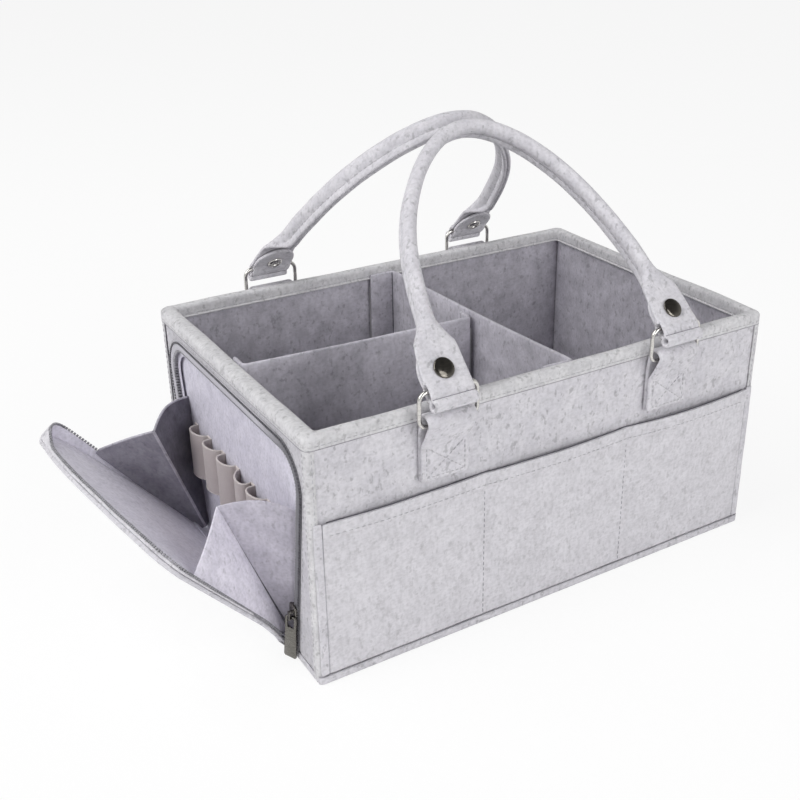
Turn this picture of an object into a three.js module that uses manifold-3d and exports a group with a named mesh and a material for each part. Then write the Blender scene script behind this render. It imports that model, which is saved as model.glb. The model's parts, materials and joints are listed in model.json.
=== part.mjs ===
// Felt diaper caddy: a sewn felt box with two strap handles on rings, lift-out dividers,
// an open front pocket panel and a zipped wedge pocket on the left end.
// Millimetres, +Z up. X runs along the length, the front faces -Y and the zipped end faces -X.
// The origin is the centre of the base, on the surface that the caddy stands on.
import * as THREE from 'three';
import { mergeVertices } from 'three/addons/utils/BufferGeometryUtils.js';
import Module from 'manifold-3d';

const wasm = await Module();
wasm.setup();

// Clearance between pieces that lie against each other, and how far cuts and joins run past a face
const SEAM_GAP = 0.3;
const OVERRUN = 0.5;

// Box
const BOX_LENGTH = 380;
const BOX_WIDTH = 250;
const BOX_HEIGHT = 185;
const WALL_FELT = 4;
const BASE_FELT = 4;
const END_BORDER_FELT = 4.6;
const END_BACK_FELT = 3;

// Rim binding, folded over the tops of the walls
const BINDING_FELT = 1.6;
const BINDING_DEPTH = 10;

// Front pocket panel with two sewn dividing seams
const POCKET_TOP_DROP = 63;
const POCKET_BOTTOM = 5;
const POCKET_SIDE_MARGIN = 7;
const POCKET_SEAM_X = 62;
const POCKET_FELT = 2.4;
const POCKET_GAPE = 6.5;

// Ring tabs sewn to the long walls
const STRAP_CENTRE_X = 95;
const TAB_WIDTH = 36;
const TAB_FELT = 3;
const TAB_LENGTH = 44.5;
const TAB_JOIN_DROP = 20;
const TAB_LOOP_DROP = 9.5;
const TAB_LOOP_INNER = 4;

// Wire rings
const WIRE_RADIUS = 1.5;
const RING_WIDTH = 43;
const RING_HEIGHT = 24;
const RING_CORNER = 6;

// Handles
const HANDLE_LEAN = 43.3;
const HANDLE_HEIGHT = 179;
const HANDLE_THICK = 10;
const HANDLE_DEPTH = 17;
const HANDLE_SET_IN = 2.5;
const HANDLE_TOP_PULL = 40;
const HANDLE_LEG_PULL = 106;
const HANDLE_LEG_INSET = 3;
const HANDLE_FELT = 3;
const HANDLE_TAB_WIDTH = 38;
const HANDLE_TAB_STRAIGHT = 27;
const HANDLE_TAPER_END = 54;
const HANDLE_FOLD_INNER = 3.1;
const HANDLE_FOLD_JOIN = 4;
const HANDLE_TAB_SQUARENESS = 0.35;
const HANDLE_STRAP_SQUARENESS = 0.85;

// Snap fasteners through the handle tabs
const SNAP_HEIGHT = 11.5;
const CAP_RADIUS = 7.2;
const CAP_DOME = 2.6;
const CAP_EDGE = 0.9;
const POST_RADIUS = 2;
const SOCKET_RADIUS = 6;
const SOCKET_DEPTH = 2.2;

// Lift-out dividers
const DIVIDER_FELT = 4;
const DIVIDER_DROP = 6;
const FLANGE_FELT = 2.5;
const CROSS_FACE_X = 10;
const CROSS_FLANGE = 23;
const LONG_FACE_Y = -7;
const LONG_FLANGE = 13;
const STRIP_FELT = 1.6;
const STRIP_BOTTOM = 20;
const STRIP_TOP_DROP = 17;

// Zipped opening in the left end: slanted sides, round top corners, straight hinge line
const OPENING_SIDE_MARGIN = 11.6;
const OPENING_SPREAD = 9;
const OPENING_TOP_MARGIN = 19;
const OPENING_CORNER = 27;
const OPENING_SILL = 1.5;

// Zip: every width is measured inwards from the edge of the opening
const ZIP_TAPE_WIDTH = 3;
const ZIP_TAPE_FELT = 1.2;
const ZIP_CHAIN_WIDTH = 2.5;
const ZIP_CHAIN_HEIGHT = 3;
const SLIDER_WEB = 1.2;
const SLIDER_RUN_GAP = 0.4;
const SLIDER_PLATE = 2.2;
const SLIDER_BACK_PLATE = 1.3;
const SLIDER_LENGTH = 11;
const SLIDER_OVERHANG = 1.4;
const SLIDER_NOSE = 1.2;
const SLIDER_HEIGHT = 32;

// Bridge on the slider and the pull that hangs from it
const BRIDGE_LENGTH = 7;
const BRIDGE_WIDTH = 3;
const BRIDGE_WALL = 1;
const BRIDGE_EYE = 2.4;
const PULL_INSET = 1;
const PULL_WIDTH = 9;
const PULL_LENGTH = 38;
const PULL_THICK = 1.2;
const PULL_BAR = 1.6;
const PULL_WINDOW = 9;
const PULL_SIDE_BAR = 1.8;
const PULL_CHAMFER = 1;

// Flap, hinged along the sill of the opening
const HINGE_Z = 8;
const FLAP_OPEN = 39.5;
const FLAP_CLOSED = 6.5;
const FLAP_FELT = 3;
const LINING_FELT = 1.2;
const FLAP_BAND_FELT = 2;
const FLAP_CHAIN_WIDTH = 2.4;
const FLAP_CHAIN_HEIGHT = 2.4;
const FLAP_CLOSED_GAP = 1.2;
const FLAP_START = 1.5;
const LINING_START = 4;
const FLAP_BOW = 22;
const FLAP_LEAST_EDGE = 0.5;

// Folding side gussets between the end wall and the flap
const GUSSET_HEM = 1.6;
const GUSSET_FELT = 1.4;
const GUSSET_ANGLE = 26.8;
const GUSSET_FOLD = 47.8;
const GUSSET_START = 14;
const GUSSET_EDGE = 112;
const GUSSET_APEX = 116;
const GUSSET_RIDGE_GAP = 1;

// Elastic ribbon sewn down between its loops
const LOOP_COUNT = 5;
const LOOP_FLAT = 6;
const LOOP_BACK_MARGIN = 2.6;
const LOOP_FRONT_MARGIN = 34;
const LOOP_DEPTH = 8.1;
const LOOP_CENTRE_Z = 83;
const RIBBON_HEIGHT = 38;
const RIBBON_THICK = 1.1;

// Places that follow from the sizes above
const halfLength = BOX_LENGTH / 2;
const halfWidth = BOX_WIDTH / 2;
const pocketTop = BOX_HEIGHT - POCKET_TOP_DROP;
const tabLoopZ = BOX_HEIGHT - TAB_LOOP_DROP;
const dividerTop = BOX_HEIGHT - DIVIDER_DROP;
const stripTop = BOX_HEIGHT - STRIP_TOP_DROP;
const wallTop = BOX_HEIGHT - BINDING_FELT - SEAM_GAP;
const wallInnerY = halfWidth - WALL_FELT;
const rightInnerX = halfLength - WALL_FELT;
const endBackX = -halfLength + END_BORDER_FELT + SEAM_GAP;
const leftInnerX = endBackX + END_BACK_FELT;
const hingeX = endBackX - GUSSET_HEM - SEAM_GAP;
const bindingReach = SEAM_GAP + BINDING_FELT;
const flangeReach = SEAM_GAP + STRIP_FELT + SEAM_GAP;
const barY = -(halfWidth + bindingReach + SEAM_GAP + TAB_LOOP_INNER + TAB_FELT);
const lowerBarZ = tabLoopZ - (TAB_LOOP_INNER - WIRE_RADIUS - SEAM_GAP);
const upperBarZ = lowerBarZ + RING_HEIGHT;
const spread = THREE.MathUtils.degToRad(OPENING_SPREAD);
const openingHeight = BOX_HEIGHT - OPENING_TOP_MARGIN - HINGE_Z;
const cornerHeight = openingHeight - OPENING_CORNER;
const cornerY = halfWidth - OPENING_SIDE_MARGIN - OPENING_CORNER;
const hingeHalf = cornerY + OPENING_CORNER / Math.cos(spread) - cornerHeight * Math.tan(spread);
const tapeInset = SEAM_GAP;
const chainInset = tapeInset + ZIP_TAPE_WIDTH + SEAM_GAP;
const webInset = chainInset + ZIP_CHAIN_WIDTH + SLIDER_RUN_GAP;
const sliderInset = webInset + SLIDER_WEB;
const flapInset = sliderInset + 2 * SEAM_GAP;
const flapChainInset = flapInset + FLAP_CHAIN_WIDTH;
const gussetInset = flapChainInset + 2 * SEAM_GAP + GUSSET_HEM;
const gussetCornerY = hingeHalf - gussetInset / Math.cos(spread);
const liningFace = -(GUSSET_HEM + SEAM_GAP);
const flapFace = liningFace - LINING_FELT - SEAM_GAP;
const chainOuterX = -halfLength - 2 * SEAM_GAP;
const chainInnerX = chainOuterX + ZIP_CHAIN_HEIGHT;
const bowHalf = cornerY + OPENING_CORNER - flapInset;
const closedLean = THREE.MathUtils.degToRad(FLAP_CLOSED);

// Materials
const felt = new THREE.MeshStandardMaterial({ color: 0xc4c1c6, roughness: 0.95, metalness: 0 });
const bindingFelt = new THREE.MeshStandardMaterial({ color: 0xcac9ca, roughness: 0.95, metalness: 0 });
const liningFelt = new THREE.MeshStandardMaterial({ color: 0xc8c5d2, roughness: 0.95, metalness: 0 });
const innerFelt = new THREE.MeshStandardMaterial({ color: 0xb4b1ba, roughness: 0.95, metalness: 0 });
const elastic = new THREE.MeshStandardMaterial({ color: 0xa39a94, roughness: 0.85, metalness: 0 });
const zipTape = new THREE.MeshStandardMaterial({ color: 0x8b8a8d, roughness: 0.9, metalness: 0 });
const zipTeeth = new THREE.MeshStandardMaterial({ color: 0x6a6a6c, roughness: 0.5, metalness: 0.1 });
const nickel = new THREE.MeshStandardMaterial({ color: 0xb9b8b4, roughness: 0.22, metalness: 1 });
const gunmetal = new THREE.MeshStandardMaterial({ color: 0x6d6b68, roughness: 0.32, metalness: 1 });

const caddy = new THREE.Group();

// Geometry helpers

function toSolid(geometry) {
  const plain = geometry.clone();
  plain.deleteAttribute('normal');
  plain.deleteAttribute('uv');
  const merged = mergeVertices(plain, 1e-4);
  const mesh = new wasm.Mesh({
    numProp: 3,
    vertProperties: new Float32Array(merged.attributes.position.array),
    triVerts: new Uint32Array(merged.index.array),
  });
  return new wasm.Manifold(mesh);
}

function toGeometry(solid) {
  const mesh = solid.getMesh();
  const geometry = new THREE.BufferGeometry();
  geometry.setAttribute('position', new THREE.BufferAttribute(new Float32Array(mesh.vertProperties), 3));
  geometry.setIndex(new THREE.BufferAttribute(new Uint32Array(mesh.triVerts), 1));
  geometry.computeVertexNormals();
  return geometry;
}

function join(...geometries) {
  return toGeometry(geometries.map(toSolid).reduce((whole, piece) => whole.add(piece)));
}

function cut(geometry, ...tools) {
  return toGeometry(tools.map(toSolid).reduce((whole, tool) => whole.subtract(tool), toSolid(geometry)));
}

function block(x0, x1, y0, y1, z0, z1) {
  const geometry = new THREE.BoxGeometry(x1 - x0, y1 - y0, z1 - z0);
  return geometry.translate((x0 + x1) / 2, (y0 + y1) / 2, (z0 + z1) / 2);
}

// A flat outline in Y and Z, given depth along X from x0 to x1
function slabAlongX(shape, x0, x1, curveSegments = 12) {
  const geometry = new THREE.ExtrudeGeometry(shape, { depth: x1 - x0, bevelEnabled: false, curveSegments });
  const turn = new THREE.Matrix4().makeBasis(
    new THREE.Vector3(0, 1, 0),
    new THREE.Vector3(0, 0, 1),
    new THREE.Vector3(1, 0, 0),
  );
  return geometry.applyMatrix4(turn).translate(x0, 0, 0);
}

// A flat outline in X and Y, given height from z0 to z1
function slabAlongZ(points, z0, z1) {
  const shape = new THREE.Shape(points);
  const geometry = new THREE.ExtrudeGeometry(shape, { depth: z1 - z0, bevelEnabled: false });
  return geometry.translate(0, 0, z0);
}

// Closed surface through rings of points; an open loft's ends are closed by strips across the ring
function skin(rings, closedLoop) {
  const count = rings[0].length;
  const positions = rings.flat().flatMap((point) => [point.x, point.y, point.z]);
  const index = [];
  const spans = closedLoop ? rings.length : rings.length - 1;
  for (let ring = 0; ring < spans; ring += 1) {
    const next = (ring + 1) % rings.length;
    for (let side = 0; side < count; side += 1) {
      const following = (side + 1) % count;
      const a = ring * count + side;
      const b = ring * count + following;
      const c = next * count + following;
      const d = next * count + side;
      index.push(a, b, c, a, c, d);
    }
  }
  if (!closedLoop) {
    const last = (rings.length - 1) * count;
    for (let a = 0; a < count / 2 - 1; a += 1) {
      const b = a + 1;
      const c = count - 2 - a;
      const d = count - 1 - a;
      index.push(a, d, c, a, c, b);
      index.push(last + a, last + b, last + c, last + a, last + c, last + d);
    }
  }
  const geometry = new THREE.BufferGeometry();
  geometry.setAttribute('position', new THREE.Float32BufferAttribute(positions, 3));
  geometry.setIndex(index);
  geometry.computeVertexNormals();
  return geometry;
}

function addPart(parent, name, geometry, material) {
  const mesh = new THREE.Mesh(geometry, material);
  mesh.name = name;
  parent.add(mesh);
  return mesh;
}

// Box walls and base

function buildBox() {
  const innerY = wallInnerY - SEAM_GAP;
  addPart(caddy, 'base_panel', block(-halfLength, halfLength, -halfWidth, halfWidth, 0, BASE_FELT), felt);
  const longWall = block(-halfLength, halfLength, -halfWidth, -wallInnerY, BASE_FELT, wallTop);
  addPart(caddy, 'front_wall', longWall, felt);
  addPart(caddy, 'back_wall', longWall.clone().translate(0, halfWidth + wallInnerY, 0), felt);
  addPart(caddy, 'right_wall', block(rightInnerX, halfLength, -innerY, innerY, BASE_FELT, wallTop), felt);
  addPart(caddy, 'left_wall', block(endBackX, leftInnerX, -innerY, innerY, BASE_FELT, wallTop), felt);
  const outer = new THREE.Shape([
    new THREE.Vector2(-innerY, BASE_FELT),
    new THREE.Vector2(innerY, BASE_FELT),
    new THREE.Vector2(innerY, wallTop),
    new THREE.Vector2(-innerY, wallTop),
  ]);
  outer.holes.push(new THREE.Path(openingOutline(0, -OPENING_SILL, HINGE_Z)));
  addPart(caddy, 'end_border', slabAlongX(outer, -halfLength, -halfLength + END_BORDER_FELT), felt);
}

// Rim binding: a channel that straddles all four walls

function buildRim() {
  const low = BOX_HEIGHT - BINDING_DEPTH;
  const outer = block(
    -halfLength - bindingReach, halfLength + bindingReach,
    -halfWidth - bindingReach, halfWidth + bindingReach,
    low, BOX_HEIGHT,
  );
  const mouth = block(
    leftInnerX + bindingReach, rightInnerX - bindingReach,
    -wallInnerY + bindingReach, wallInnerY - bindingReach,
    low - OVERRUN, BOX_HEIGHT + OVERRUN,
  );
  const grooveOuter = block(
    -halfLength - SEAM_GAP, halfLength + SEAM_GAP,
    -halfWidth - SEAM_GAP, halfWidth + SEAM_GAP,
    low - OVERRUN, wallTop + SEAM_GAP,
  );
  const grooveCore = block(
    leftInnerX + SEAM_GAP, rightInnerX - SEAM_GAP,
    -wallInnerY + SEAM_GAP, wallInnerY - SEAM_GAP,
    low - 2 * OVERRUN, BOX_HEIGHT,
  );
  const groove = cut(grooveOuter, grooveCore);
  addPart(caddy, 'rim_binding', cut(outer, mouth, groove), bindingFelt);
}

// Front pocket panel: sewn flat at the bottom, the sides and two seams, and gaping at each mouth

function buildFrontPocket() {
  const edge = halfLength - POCKET_SIDE_MARGIN;
  const seams = [-edge, -POCKET_SEAM_X, POCKET_SEAM_X, edge];
  const stepsAcross = 8;
  const stepsUp = 4;
  const backFace = -(halfWidth + SEAM_GAP);
  const columns = [{ x: -edge, swell: 0 }];
  for (let pocket = 0; pocket < seams.length - 1; pocket += 1) {
    for (let step = 1; step <= stepsAcross; step += 1) {
      const share = step / stepsAcross;
      const x = THREE.MathUtils.lerp(seams[pocket], seams[pocket + 1], share);
      columns.push({ x, swell: 4 * share * (1 - share) });
    }
  }
  const rings = columns.map(({ x, swell }) => {
    const inner = [];
    const outer = [];
    for (let step = 0; step <= stepsUp; step += 1) {
      const share = step / stepsUp;
      const z = THREE.MathUtils.lerp(POCKET_BOTTOM, pocketTop, share);
      const y = backFace - POCKET_GAPE * swell * share;
      inner.push(new THREE.Vector3(x, y, z));
      outer.unshift(new THREE.Vector3(x, y - POCKET_FELT, z));
    }
    return [...inner, ...outer];
  });
  addPart(caddy, 'front_pocket_panel', skin(rings, false), felt);
}

// Half the width of the zipped opening at a height above the hinge line
function openingSide(height) {
  return hingeHalf + height * Math.tan(spread);
}

// Right half of the opening's outline, moved inwards by inset, from a starting height above the
// hinge line up the slanted side and round the corner

function openingHalf(inset, start, sideSteps) {
  const radius = OPENING_CORNER - inset;
  const startY = openingSide(start) - inset / Math.cos(spread);
  const arcSteps = 8;
  const arc = [];
  for (let step = 0; step <= arcSteps; step += 1) {
    const angle = THREE.MathUtils.lerp(-spread, Math.PI / 2, step / arcSteps);
    const y = cornerY + radius * Math.cos(angle);
    arc.push(new THREE.Vector2(y, cornerHeight + radius * Math.sin(angle)));
  }
  const foot = new THREE.Vector2(startY, start);
  const side = [];
  for (let step = 0; step < sideSteps; step += 1) {
    side.push(foot.clone().lerp(arc[0], step / sideSteps));
  }
  return [...side, ...arc];
}

// Whole outline, with extra points on the straight stretches where steps is over 1;
// lift is added to every height

function openingOutline(inset, start, lift = 0, steps = 1) {
  const right = openingHalf(inset, start, steps);
  const left = right.map((point) => new THREE.Vector2(-point.x, point.y)).reverse();
  const top = [];
  for (let step = 1; step < steps; step += 1) {
    top.push(right.at(-1).clone().lerp(left[0], step / steps));
  }
  return [...right, ...top, ...left].map((point) => new THREE.Vector2(point.x, point.y + lift));
}

// U-shaped strip between two insets of the opening
function openingStrip(outerInset, innerInset, start, lift = 0) {
  const outer = openingOutline(outerInset, start, lift);
  const inner = openingOutline(innerInset, start, lift).reverse();
  return new THREE.Shape([...outer, ...inner]);
}

// Wall side of the zip: tape along the edge of the opening, and the chain inside it

function buildWallZip() {
  const tapeMiddle = (chainOuterX + chainInnerX) / 2;
  const tape = openingStrip(tapeInset, tapeInset + ZIP_TAPE_WIDTH, 0, HINGE_Z);
  const tapeSlab = slabAlongX(tape, tapeMiddle - ZIP_TAPE_FELT / 2, tapeMiddle + ZIP_TAPE_FELT / 2);
  addPart(caddy, 'wall_zip_tape', tapeSlab, zipTape);
  const chain = openingStrip(chainInset, chainInset + ZIP_CHAIN_WIDTH, 0, HINGE_Z);
  addPart(caddy, 'wall_zip_chain', slabAlongX(chain, chainOuterX, chainInnerX), zipTeeth);
}

// Zip slider that clasps the chain on the front run, with a pull on its bridge.
// In the slider's own group Z runs along the chain and Y is the inset from the opening's edge.

function buildSlider() {
  const group = new THREE.Group();
  group.rotation.x = spread;
  group.position.set(0, -openingSide(SLIDER_HEIGHT), HINGE_Z + SLIDER_HEIGHT);
  caddy.add(group);
  const half = SLIDER_LENGTH / 2;
  const plateInnerX = chainOuterX - SLIDER_RUN_GAP;
  const plateOuterX = plateInnerX - SLIDER_PLATE;
  const backOuterX = chainInnerX + SLIDER_RUN_GAP;
  const backInnerX = backOuterX + SLIDER_BACK_PLATE;
  const plate = new THREE.Shape();
  plate.moveTo(-SLIDER_OVERHANG, -half);
  plate.lineTo(sliderInset, -half);
  plate.lineTo(sliderInset, half - SLIDER_NOSE);
  plate.lineTo(sliderInset - SLIDER_NOSE, half);
  plate.lineTo(-SLIDER_OVERHANG + SLIDER_NOSE, half);
  plate.lineTo(-SLIDER_OVERHANG, half - SLIDER_NOSE);
  const frontPlate = slabAlongX(plate, plateOuterX, plateInnerX);
  const web = block(
    plateInnerX - OVERRUN, backOuterX + OVERRUN,
    webInset, sliderInset,
    -half, half - SLIDER_NOSE,
  );
  const backPlate = block(backOuterX, backInnerX, 2 * tapeInset, sliderInset, -half, half - SLIDER_NOSE);
  const bridgeOuterX = plateOuterX - BRIDGE_EYE - BRIDGE_WALL;
  const bridge = block(
    bridgeOuterX, plateOuterX + OVERRUN,
    PULL_INSET - BRIDGE_WIDTH / 2, PULL_INSET + BRIDGE_WIDTH / 2,
    -BRIDGE_LENGTH / 2, BRIDGE_LENGTH / 2,
  );
  const eye = block(
    plateOuterX - BRIDGE_EYE, plateOuterX,
    PULL_INSET - BRIDGE_WIDTH, PULL_INSET + BRIDGE_WIDTH,
    -BRIDGE_LENGTH / 2 + BRIDGE_WALL, BRIDGE_LENGTH / 2 - BRIDGE_WALL,
  );
  const body = join(frontPlate, web, backPlate, cut(bridge, eye));
  addPart(group, 'zip_slider', body, gunmetal);
  const hang = new THREE.Group();
  const barZ = -BRIDGE_LENGTH / 2 + BRIDGE_WALL + SEAM_GAP + PULL_BAR / 2;
  hang.position.set(plateOuterX - BRIDGE_EYE / 2, PULL_INSET, barZ);
  group.add(hang);
  const top = PULL_BAR / 2;
  const sideHalf = PULL_WIDTH / 2;
  const outline = new THREE.Shape();
  outline.moveTo(-sideHalf + PULL_CHAMFER, top);
  outline.lineTo(sideHalf - PULL_CHAMFER, top);
  outline.lineTo(sideHalf, top - PULL_CHAMFER);
  outline.lineTo(sideHalf, top - PULL_LENGTH);
  outline.lineTo(-sideHalf, top - PULL_LENGTH);
  outline.lineTo(-sideHalf, top - PULL_CHAMFER);
  const window = new THREE.Path();
  window.moveTo(-sideHalf + PULL_SIDE_BAR, top - PULL_BAR);
  window.lineTo(-sideHalf + PULL_SIDE_BAR, top - PULL_BAR - PULL_WINDOW);
  window.lineTo(sideHalf - PULL_SIDE_BAR, top - PULL_BAR - PULL_WINDOW);
  window.lineTo(sideHalf - PULL_SIDE_BAR, top - PULL_BAR);
  outline.holes.push(window);
  addPart(hang, 'zip_pull', slabAlongX(outline, -PULL_THICK / 2, PULL_THICK / 2), gunmetal);
}

// How far the soft flap sags outwards at a place on it: most in the middle of its free edge
function flapBow(y, height) {
  const share = Math.min(Math.abs(y) / bowHalf, 1);
  return FLAP_BOW * (height / openingHeight) ** 2 * (1 - share ** 2);
}

// Where the upright plane x = planeX cuts the closed flap, as a depth above the flap's own plane
function closedDepth(planeX, height) {
  return (planeX - hingeX + height * Math.sin(closedLean)) / Math.cos(closedLean);
}

// Height above the hinge at which that plane reaches a depth
function closedHeight(planeX, depth) {
  return (depth * Math.cos(closedLean) + hingeX - planeX) / Math.sin(closedLean);
}

// Bowed sheet that fills the opening's outline, in rows from the hinge to the top edge

function flapSheet(inset, start, face, thick) {
  const columns = 20;
  const sideSteps = 8;
  const rings = openingHalf(inset, start, sideSteps).map((edge) => {
    const inner = [];
    const outer = [];
    for (let step = 0; step <= columns; step += 1) {
      const y = THREE.MathUtils.lerp(-edge.x, edge.x, step / columns);
      const x = face - flapBow(y, edge.y);
      inner.push(new THREE.Vector3(x, y, edge.y));
      outer.unshift(new THREE.Vector3(x - thick, y, edge.y));
    }
    return [...inner, ...outer];
  });
  return skin(rings, false);
}

// Strip that stands on the flap between two insets, from a foot depth to a top depth

function flapEdging(outerInset, innerInset, start, footDepth, topDepth) {
  const steps = 14;
  const innerPath = openingOutline(innerInset, start, 0, steps);
  const rings = openingOutline(outerInset, start, 0, steps).map((outer, place) => {
    const at = (edge, depth) => new THREE.Vector3(depth(edge.y) - flapBow(edge.x, edge.y), edge.x, edge.y);
    const inner = innerPath[place];
    return [at(inner, footDepth), at(inner, topDepth), at(outer, topDepth), at(outer, footDepth)];
  });
  return skin(rings, false);
}

// Flap: outer felt, lining, a side band that stands up round three edges, and its half of the chain.
// In the flap's own group Z runs from the hinge to the top edge and +X is the inner side.

function buildFlap() {
  const group = new THREE.Group();
  group.position.set(hingeX, 0, HINGE_Z);
  group.rotation.y = -THREE.MathUtils.degToRad(FLAP_OPEN);
  caddy.add(group);
  addPart(group, 'flap_panel', flapSheet(flapInset, FLAP_START, flapFace, FLAP_FELT), felt);
  const lining = flapSheet(flapChainInset + SEAM_GAP, LINING_START, liningFace, LINING_FELT);
  addPart(group, 'flap_lining', lining, liningFelt);
  const chainTopX = -halfLength - FLAP_CLOSED_GAP;
  const chainFootX = chainTopX - FLAP_CHAIN_HEIGHT;
  const bandTopX = chainFootX - SEAM_GAP;
  const foot = flapFace + SEAM_GAP;
  const bandInset = flapInset + (FLAP_CHAIN_WIDTH - FLAP_BAND_FELT) / 2;
  const band = flapEdging(
    bandInset, bandInset + FLAP_BAND_FELT,
    closedHeight(bandTopX, foot + FLAP_LEAST_EDGE),
    () => foot,
    (height) => closedDepth(bandTopX, height),
  );
  addPart(group, 'flap_side_band', band, felt);
  const chain = flapEdging(
    flapInset, flapChainInset,
    closedHeight(chainTopX, foot + FLAP_LEAST_EDGE),
    (height) => Math.max(foot, closedDepth(chainFootX, height)),
    (height) => closedDepth(chainTopX, height),
  );
  addPart(group, 'flap_zip_chain', chain, zipTeeth);
  return group;
}

// One gusset panel, in its own group: Z runs along the sewn edge, Y across the panel towards the ridge

function gussetPanel(side) {
  const angle = THREE.MathUtils.degToRad(GUSSET_ANGLE);
  const ridge = (distance) => new THREE.Vector2(
    side * (distance * Math.sin(angle) - GUSSET_RIDGE_GAP * Math.cos(angle)),
    distance * Math.cos(angle) + GUSSET_RIDGE_GAP * Math.sin(angle),
  );
  const outline = new THREE.Shape([
    new THREE.Vector2(0, GUSSET_START),
    ridge(GUSSET_START),
    ridge(GUSSET_APEX),
    new THREE.Vector2(0, GUSSET_EDGE),
  ]);
  const plate = slabAlongX(outline, -GUSSET_FELT / 2, GUSSET_FELT / 2);
  const length = GUSSET_EDGE - GUSSET_START;
  const hem = new THREE.CylinderGeometry(GUSSET_HEM, GUSSET_HEM, length, 10);
  hem.rotateX(Math.PI / 2).translate(0, 0, GUSSET_START + length / 2);
  return join(plate, hem);
}

// Gussets: each side has one panel hinged on the end wall and one on the flap

function buildGussets(flapGroup) {
  const fold = THREE.MathUtils.degToRad(GUSSET_FOLD);
  for (const [place, side] of [['front', 1], ['back', -1]]) {
    const wallSide = new THREE.Group();
    wallSide.position.set(hingeX, -side * gussetCornerY, HINGE_Z);
    wallSide.rotation.x = side * spread;
    caddy.add(wallSide);
    const wallPanel = addPart(wallSide, `gusset_${place}_wall`, gussetPanel(side), liningFelt);
    wallPanel.rotation.z = side * fold;
    const flapSide = new THREE.Group();
    flapSide.position.set(0, -side * gussetCornerY, 0);
    flapSide.rotation.x = side * spread;
    flapGroup.add(flapSide);
    const flapPanel = addPart(flapSide, `gusset_${place}_flap`, gussetPanel(side), liningFelt);
    flapPanel.rotation.z = -side * fold;
  }
}

// Elastic ribbon: one strip that runs flat on the end wall between its standing loops

function buildElasticLoops() {
  const lowEdge = LOOP_CENTRE_Z - RIBBON_HEIGHT / 2 - HINGE_Z;
  const gussetY = gussetCornerY + lowEdge * Math.tan(spread);
  const total = 2 * gussetY - LOOP_BACK_MARGIN - LOOP_FRONT_MARGIN;
  const pitch = (total - LOOP_FLAT) / LOOP_COUNT;
  const width = pitch - LOOP_FLAT;
  const loopSteps = 10;
  const middle = [new THREE.Vector2(0, 0)];
  for (let loop = 0; loop < LOOP_COUNT; loop += 1) {
    const start = LOOP_FLAT + loop * pitch;
    for (let step = 0; step <= loopSteps; step += 1) {
      const angle = Math.PI * (step / loopSteps);
      const along = start + width * (1 - Math.cos(angle)) / 2;
      middle.push(new THREE.Vector2(-LOOP_DEPTH * Math.sin(angle), along));
    }
  }
  middle.push(new THREE.Vector2(0, total));
  const sides = [RIBBON_THICK / 2, -RIBBON_THICK / 2].map((offset) => middle.map((point, place) => {
    const before = middle[Math.max(place - 1, 0)];
    const after = middle[Math.min(place + 1, middle.length - 1)];
    const heading = after.clone().sub(before).normalize();
    return new THREE.Vector2(point.x + heading.y * offset, point.y - heading.x * offset);
  }));
  const outline = [...sides[0], ...sides[1].reverse()];
  const ribbon = slabAlongZ(outline, -RIBBON_HEIGHT / 2, RIBBON_HEIGHT / 2);
  const mesh = addPart(caddy, 'elastic_loops', ribbon, elastic);
  mesh.position.set(endBackX - SEAM_GAP - RIBBON_THICK / 2, LOOP_FRONT_MARGIN - gussetY, LOOP_CENTRE_Z);
}

// Dividers with bent end flanges, and the hook-and-loop strips that they press against

function buildDividers() {
  const foot = BASE_FELT + SEAM_GAP;
  const crossEnd = wallInnerY - flangeReach;
  const flangeX = CROSS_FACE_X - CROSS_FLANGE;
  const backX = CROSS_FACE_X + DIVIDER_FELT;
  const cross = [
    [flangeX, -crossEnd], [backX, -crossEnd], [backX, crossEnd], [flangeX, crossEnd],
    [flangeX, crossEnd - FLANGE_FELT], [CROSS_FACE_X, crossEnd - FLANGE_FELT],
    [CROSS_FACE_X, -crossEnd + FLANGE_FELT], [flangeX, -crossEnd + FLANGE_FELT],
  ];
  addPart(caddy, 'cross_divider', slabAlongZ(toPoints(cross), foot, dividerTop), innerFelt);
  const longStart = leftInnerX + flangeReach;
  const longEnd = CROSS_FACE_X - flangeReach;
  const longBack = LONG_FACE_Y + DIVIDER_FELT;
  const flangeY = longBack + LONG_FLANGE;
  const long = [
    [longStart, LONG_FACE_Y], [longEnd, LONG_FACE_Y], [longEnd, flangeY], [longEnd - FLANGE_FELT, flangeY],
    [longEnd - FLANGE_FELT, longBack], [longStart + FLANGE_FELT, longBack],
    [longStart + FLANGE_FELT, flangeY], [longStart, flangeY],
  ];
  addPart(caddy, 'long_divider', slabAlongZ(toPoints(long), foot, dividerTop), innerFelt);
  const stripY = wallInnerY - SEAM_GAP;
  const crossStrip = block(flangeX, CROSS_FACE_X, -stripY, -stripY + STRIP_FELT, STRIP_BOTTOM, stripTop);
  addPart(caddy, 'grip_strip_front', crossStrip, zipTape);
  addPart(caddy, 'grip_strip_back', crossStrip.clone().translate(0, 2 * stripY - STRIP_FELT, 0), zipTape);
  const stripX = leftInnerX + SEAM_GAP;
  const endStrip = block(stripX, stripX + STRIP_FELT, longBack, flangeY, STRIP_BOTTOM, stripTop);
  addPart(caddy, 'grip_strip_left', endStrip, zipTape);
  const innerStripX = CROSS_FACE_X - SEAM_GAP;
  const innerStrip = block(innerStripX - STRIP_FELT, innerStripX, longBack, flangeY, STRIP_BOTTOM, stripTop);
  addPart(caddy, 'grip_strip_divider', innerStrip, zipTape);
}

function toPoints(pairs) {
  return pairs.map(([x, y]) => new THREE.Vector2(x, y));
}

// Ring tab: a felt strip folded into a loose loop, both layers sewn to the wall

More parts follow.
